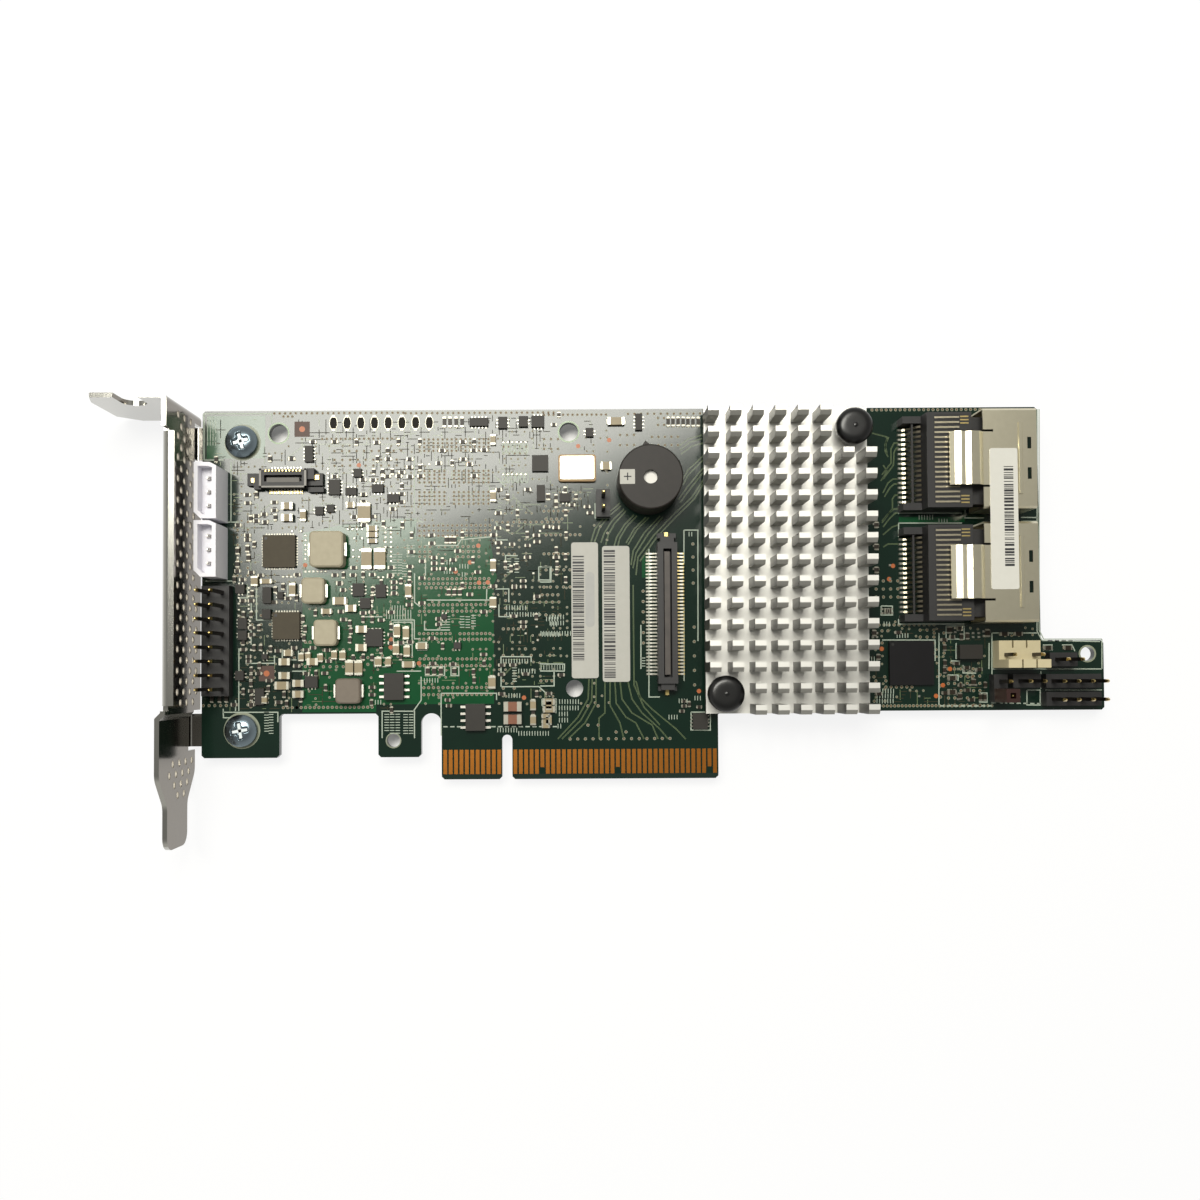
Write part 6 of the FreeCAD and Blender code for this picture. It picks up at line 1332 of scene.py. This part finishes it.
def heatsink_pins():
    """The plate with its field of fin pins, free in the two corners that hold the push pins."""
    low, high = span("heatsink")
    columns, rows, width, depth, pitch_x, pitch_y = 8, 15, 2.0, 1.75, 3.99, 3.805
    base_top = low[2] + 1.7
    x, y = np.meshgrid(low[0] + width / 2 + np.arange(columns) * pitch_x,
                       low[1] + depth / 2 + np.arange(rows) * pitch_y)
    column, row = np.meshgrid(np.arange(columns), np.arange(rows))
    upper_corner = (column >= columns - 2) & (row >= rows - 2)
    lower_corner = (column < 2) & (row < 2)
    keep = ~(upper_corner | lower_corner)
    section = fin_section(depth, base_top, high[2])
    count = len(section)
    near = np.column_stack([np.full(count, -width / 2), section])
    block = np.vstack([near, near + (width, 0, 0)])
    places = np.column_stack([x[keep], y[keep], np.zeros(keep.sum())])
    points = block[None] + places[:, None, :]
    step = np.arange(count)
    after = (step + 1) % count
    walls = np.stack([step, after, after + count, step + count], -1)
    faces = []
    for start in range(0, len(places) * 2 * count, 2 * count):
        faces += (walls + start).tolist()
        faces.append((step[::-1] + start).tolist())
        faces.append((step + start + count).tolist())
    plate = blocks([(*low[:2], low[2], *high[:2], base_top)])
    body = merged([plate, (points.reshape(-1, 3), faces)])
    piece("heatsink_crowned", body, ALUMINIUM_PAINTED_LIGHT, ("heatsink",))
    helix = np.linspace(0, 2 * math.pi * 3.5, 84)
    climb = base_top + 0.25 + helix / helix[-1] * 2.2
    for number, name in enumerate(("push_pin_upper", "push_pin_lower")):
        x, y = centre_of(name)[0][:2]
        path = np.column_stack([x + 2.15 * np.cos(helix), y + 2.15 * np.sin(helix), climb])
        piece("pin_spring_%d" % number, wire(path, 0.25), SPRING, smooth=True)


# ---------------------------------------------------------------- sounder and oscillator
def round_sounder():
    """Turned case with a broken upper edge, a small spike on its rim, a bright hole and a plus sign."""
    low, high = span("buzzer")
    x, y = SOUNDER_MIDDLE
    top = high[2]
    r = 5.85
    profile = [(r - 0.25, low[2] + 0.3), (r, low[2] + 0.5), (r, top - 0.25), (r - 0.06, top - 0.1),
               (r - 0.25, top), (1.28, top), (1.25, top - 0.1), (1.25, top - 1.6)]
    case = turned((x, y), profile, 96)
    angle = math.radians(98)
    corners = [(x + reach * math.cos(angle + turn), y + reach * math.sin(angle + turn))
               for reach, turn in ((r + 0.75, 0), (r - 0.1, 0.14), (r - 0.1, -0.14))]
    spike = polygon_plate(corners, low[2] + 0.3, top - 0.35)
    piece("sounder_case", merged([case, spike]), SOUNDER, ("buzzer",))
    piece("sounder_hole", discs([(x, y)], 1.24, top - 1.2, 32), BRIGHT_HOLE)
    plate = rounded_plate(x - 5.55, y - 1.35, x - 2.85, y + 1.3, 0.1, top, top + 0.02)
    piece("sign_plate", plate, PAPER)
    sign_low, sign_high = top + 0.02, top + 0.03
    sign = blocks([(x - 4.85, y - 0.12, sign_low, x - 3.5, y + 0.1, sign_high),
                   (x - 4.28, y - 0.7, sign_low, x - 4.06, y + 0.68, sign_high)])
    piece("plus_sign", sign, INK)


def oscillator():
    """Ceramic base and plated lid with round corners."""
    for node_name, name, corner, look, slot in (
            ("oscillator_base", "oscillator_can", 0.5, AMBER, "ceramic_base"),
            ("oscillator_lid", "oscillator_top", 0.4, LID, "plated_lid")):
        low, high = span(node_name)
        shape = rounded_plate(low[0], low[1], high[0], high[1], corner, low[2], high[2])
        piece(name, shape, look, (node_name,))


# ---------------------------------------------------------------- sockets
def mezzanine_details():
    """Tongue, springs, two rows of feet on each side, ears and clips of the mezzanine socket."""
    low, high = span("mezzanine_socket")
    (x, y, _), top = (low + high) / 2, high[2]
    tongue = blocks([(x - 0.55, y - 11.3, top - 2.2, x + 0.45, y + 11.3, top - 0.5)])
    piece("mezzanine_tongue", tongue, TONGUE_BROWN)
    contacts = y + (np.arange(36) - 17.5) * 0.64
    springs = [frustums(upright_row(x + side * 0.95, contacts), (0.35, 0.3), top - 1.2, top - 0.25)
               for side in (-1, 1)]
    piece("mezzanine_springs", merged(springs), DARK_METAL)
    raised = BOARD_TOP + 0.1
    right = [frustums(upright_row(high[0] + 0.45, contacts), (0.55, 0.34), raised, BOARD_TOP + 0.5, 0.8),
             frustums(upright_row(high[0] + 1.25, contacts), (0.7, 0.4), BOARD_TOP, BOARD_TOP + 0.22, 0.7)]
    piece("mezzanine_feet_right", merged(right), GOLD_TIN)
    left = [frustums(upright_row(low[0] - 0.5, contacts), (0.9, 0.3), raised, BOARD_TOP + 0.4, 0.9),
            frustums(upright_row(low[0] - 1.5, contacts), (1.1, 0.36), BOARD_TOP, BOARD_TOP + 0.16, 0.8)]
    piece("mezzanine_feet_left", merged(left), SOLDER)
    ears = [(x + near, end - 0.2, BOARD_TOP, x + far, end + 0.7, BOARD_TOP + 1.8)
            for end in (high[1], low[1]) for near, far in ((-1.7, -0.5), (0.5, 1.7))]
    piece("mezzanine_ears", blocks(ears), MOULDING)
    ends = [(x, high[1] + 0.5), (x, low[1] - 0.5)]
    clips = frustums(ends, (0.9, 1.3), BOARD_TOP, BOARD_TOP + 0.9, 0.7)
    piece("mezzanine_clips", clips, GOLD_TIN)


def mini_socket_details():
    """Rim, tongue, springs, clips and wings of the small socket."""
    low, high = span("mini_socket")
    (x, y, _), top = (low + high) / 2, high[2]
    rim = [(x - 4.35, y + 1.45, x + 4.35, y + 1.75), (x - 4.35, y - 1.75, x + 4.35, y - 1.45),
           (x - 4.35, y - 1.75, x - 3.95, y + 1.75), (x + 3.95, y - 1.75, x + 4.35, y + 1.75)]
    rows = [(x0, y0, top - 0.1, x1, y1, top + 0.25) for x0, y0, x1, y1 in rim]
    piece("mini_socket_rim", blocks(rows), RIM_GREY)
    tongue = blocks([(x - 3.0, y - 0.75, top - 1.4, x + 3.0, y + 0.1, top + 0.05)])
    piece("mini_socket_tongue", tongue, GREY_PLASTIC)
    offset = (np.arange(11) - 5) * 0.63
    upper = frustums(level_row(x + offset, y + 1.35), (0.26, 0.34), top - 0.3, top + 0.28, 0.8)
    lower = frustums(level_row(x + offset * 0.95, y - 2.2), (0.24, 0.8), BOARD_TOP, BOARD_TOP + 0.3, 0.8)
    piece("mini_socket_springs", merged([upper, lower]), GOLD_TIN)
    ends = [(x + 5.9, y + 0.3), (x - 5.7, y - 0.2)]
    clips = frustums(ends, (1.2, 1.0), BOARD_TOP + 0.9, BOARD_TOP + 1.5, 0.8)
    piece("mini_socket_clips", clips, GOLD_TIN)
    wings = blocks([(x + 4.3, y - 0.1, BOARD_TOP, x + 5.6, y + 1.9, BOARD_TOP + 2.1),
                    (x - 5.6, y - 1.9, BOARD_TOP, x - 4.3, y + 1.0, BOARD_TOP + 1.6),
                    (x + 4.3, y - 2.4, BOARD_TOP, x + 7.2, y - 1.5, BOARD_TOP + 1.3)])
    piece("mini_socket_wings", wings, MOULDING)


# ---------------------------------------------------------------- ports
# Stretches of a port contact, from its foot to its tip in the mouth: from x to x, height to height, width.
CONTACT_BENDS = (
    (73.6, 74.4, 0.785, 1.1, 0.4), (74.4, 75.6, 1.1, 3.2, 0.4), (75.6, 76.4, 3.2, 4.0, 0.4),
    (76.4, 77.0, 3.7, 5.0, 0.4), (77.0, 77.9, 5.0, 7.6, 0.4), (77.9, 82.3, 7.6, 7.75, 0.3),
)


def port_details():
    """Formed contacts, feet, grooves and the short end contacts of the two ports."""
    top = BOARD_TOP + 6.9
    for which in ("upper", "lower"):
        low, high = span("port_housing_" + which)
        y = (low[1] + high[1]) / 2
        contacts = y + (np.arange(18) - 8.5) * 0.9
        level = np.ones(18)
        strips = [slanted(np.column_stack([x0 * level, x1 * level, contacts, z0 * level, z1 * level]), width)
                  for x0, x1, z0, z1, width in CONTACT_BENDS]
        node_name = "port_contacts_" + which
        piece("contact_strips_" + which, merged(strips), CONTACT_LOOK, (node_name,))
        feet = frustums(upright_row(73.45, contacts), (0.9, 0.5), BOARD_TOP, BOARD_TOP + 0.35, 0.7)
        piece("contact_feet_" + which, feet, SOLDER)
        grooves = frustums(upright_row(80.3, contacts + 0.45), (4.6, 0.2), top, top + 0.02)
        piece("block_grooves_" + which, grooves, DARK_GROOVE)
        outermost = y + np.array([-6.6, -7.2, -7.8, 6.6, 7.2, 7.8])
        short = frustums(upright_row(83.3, outermost), (1.5, 0.24), top, top + 0.05)
        piece("block_marks_" + which, short, GOLD_TIN)


# ---------------------------------------------------------------- headers
def fan_header_fillings():
    """The closed middle of the two white housings, a little lower than their walls."""
    wall = 0.4
    for name in ("fan_header_upper", "fan_header_lower"):
        low, high = span(name)
        tips = span(name + "_pins")[1][2]
        top = min(high[2] - 0.35, tips - 1.2)
        filling = blocks([(*(low[:2] + wall), low[2] + 0.5, *(high[:2] - wall), top)])
        piece(name + "_middle", filling, WHITE_NYLON)


def header_cells():
    """A raised cell on the moulded strip of the debug header for each pair of pins."""
    low, high = span("debug_header")
    top = high[2]
    starts = low[1] + np.arange(8) * 2.54
    cells = [(low[0] + 0.25, y + 0.35, top, high[0] - 0.25, y + 2.2, top + 0.05) for y in starts]
    piece("debug_header_cells", blocks(cells), MOULDING)


board_pours()
board_vias()
board_marks()
small_chips()
dark_chips()
fine_routing()
regulator_leads()
package_dots()
oval_elements()
board_rings()
fiducials()
labels()
bracket_vents()
round_screws()
pointed_pins()
heatsink_pins()
push_pins()
round_sounder()
oscillator()
mezzanine_details()
mini_socket_details()
port_details()
inductor_bodies()
capacitor_ends()
fan_header_fillings()
header_cells()


# ---------------------------------------------------------------- studio
def place_camera():
    """The view from above the card, a little towards its front edge."""
    camera = bpy.data.cameras.new("camera")
    camera.lens = 33.89
    camera.sensor_width = 36
    camera.shift_x = 0.01799
    camera.shift_y = 0.03461
    camera.clip_start = 0.005
    holder = bpy.data.objects.new("camera", camera)
    holder.location = (0.013135, 0.019878, 0.210802)
    holder.rotation_euler = (math.radians(1.527), math.radians(-0.039), math.radians(-0.315))
    bpy.context.scene.collection.objects.link(holder)
    bpy.context.scene.camera = holder


def hang_softbox():
    """A warm white softbox behind and above the card, which lays a sheen over the upper left of the board."""
    softbox = bpy.data.lights.new("softbox", "AREA")
    softbox.shape = "RECTANGLE"
    softbox.size = 0.34
    softbox.size_y = 0.16
    softbox.energy = 2.75
    softbox.color = (1.0, 0.98, 0.9)
    lamp = bpy.data.objects.new("softbox", softbox)
    lamp.location = (-0.055, 0.2, 0.5)
    lamp.rotation_euler = (Vector((0.01, 0.03, 0)) - lamp.location).to_track_quat("-Z", "Y").to_euler()
    bpy.context.scene.collection.objects.link(lamp)


def light_room():
    """A room that is brighter low down than overhead, and plain white where the view sees it."""
    world = bpy.data.worlds.new("studio")
    bpy.context.scene.world = world
    world.use_nodes = True
    tree = world.node_tree
    tree.nodes.clear()
    where = node(tree, "ShaderNodeTexCoord")
    split = node(tree, "ShaderNodeSeparateXYZ", links={"Vector": where.outputs["Generated"]})
    fade = {"From Min": 0.45, "From Max": 1.0, "To Min": 0.6, "To Max": 0.18}
    height = node(tree, "ShaderNodeMapRange", fade, {"Value": split.outputs["Z"]})
    ray = node(tree, "ShaderNodeLightPath")
    warm = {"Color": (1, 0.985, 0.93, 1)}
    room = node(tree, "ShaderNodeBackground", warm, {"Strength": height.outputs["Result"]})
    white = node(tree, "ShaderNodeBackground", {"Color": (1, 1, 1, 1), "Strength": 1.0})
    sides = {0: ray.outputs["Is Camera Ray"], 1: room.outputs[0], 2: white.outputs[0]}
    mix = node(tree, "ShaderNodeMixShader", links=sides)
    node(tree, "ShaderNodeOutputWorld", links={"Surface": mix.outputs[0]})


def combine(tree, operation, first, second):
    """A sum, product or larger of two values, each a socket or a number."""
    made = node(tree, "ShaderNodeMath", {"operation": operation})
    for index, value in enumerate((first, second)):
        if isinstance(value, (int, float)):
            made.inputs[index].default_value = value
        else:
            tree.links.new(value, made.inputs[index])
    return made.outputs[0]


def inside_box(tree, where, box, soft=0.0015):
    """1 inside a box (x, y, half width, half depth) in metres and 0 outside, with a soft edge."""
    x, y, half_x, half_y = box
    inside = []
    for axis, middle, half in (("X", x, half_x), ("Y", y, half_y)):
        offset = combine(tree, "SUBTRACT", where.outputs[axis], middle)
        away = node(tree, "ShaderNodeMath", {"operation": "ABSOLUTE"}, {0: offset})
        edge = {"From Min": half - soft, "From Max": half, "To Min": 1.0, "To Max": 0.0}
        inside.append(node(tree, "ShaderNodeMapRange", edge, {"Value": away.outputs[0]}).outputs[0])
    return combine(tree, "MULTIPLY", *inside)


def pale_floor():
    """A floor that the view and reflections see as white, but not under the card and its small tab."""
    under_card = (0.0217, 0.0406, 0.077, 0.0282)
    under_tab = (-0.0211, 0.0073, 0.003, 0.003)
    half, z = 0.9, cad_bounds[0][2]
    mesh = bpy.data.meshes.new("floor")
    corners = [(-half, -half, z), (half, -half, z), (half, half, z), (-half, half, z)]
    mesh.from_pydata(corners, [], [[0, 1, 2, 3]])
    floor = bpy.data.objects.new("floor", mesh)
    bpy.context.scene.collection.objects.link(floor)
    made = bpy.data.materials.new("pale_floor")
    made.use_nodes = True
    tree = made.node_tree
    tree.nodes.clear()
    ray = node(tree, "ShaderNodeLightPath")
    seen = combine(tree, "MAXIMUM", ray.outputs["Is Camera Ray"], ray.outputs["Is Glossy Ray"])
    spot = node(tree, "ShaderNodeTexCoord")
    where = node(tree, "ShaderNodeSeparateXYZ", links={"Vector": spot.outputs["Object"]})
    under = combine(tree, "MAXIMUM", inside_box(tree, where, under_card), inside_box(tree, where, under_tab))
    shade = node(tree, "ShaderNodeMapRange", {"To Min": 0.85, "To Max": 0.08}, {"Value": under})
    share = combine(tree, "MULTIPLY", seen, shade.outputs[0])
    matt = node(tree, "ShaderNodeBsdfDiffuse", {"Color": linear("#f4f4f4")})
    glow = node(tree, "ShaderNodeEmission", {"Color": (1, 1, 1, 1), "Strength": 1.0})
    mix = node(tree, "ShaderNodeMixShader", links={0: share, 1: matt.outputs[0], 2: glow.outputs[0]})
    node(tree, "ShaderNodeOutputMaterial", links={"Surface": mix.outputs[0]})
    mesh.materials.append(made)


place_camera()
hang_softbox()
light_room()
pale_floor()
bpy.context.scene.view_settings.view_transform = "Standard"
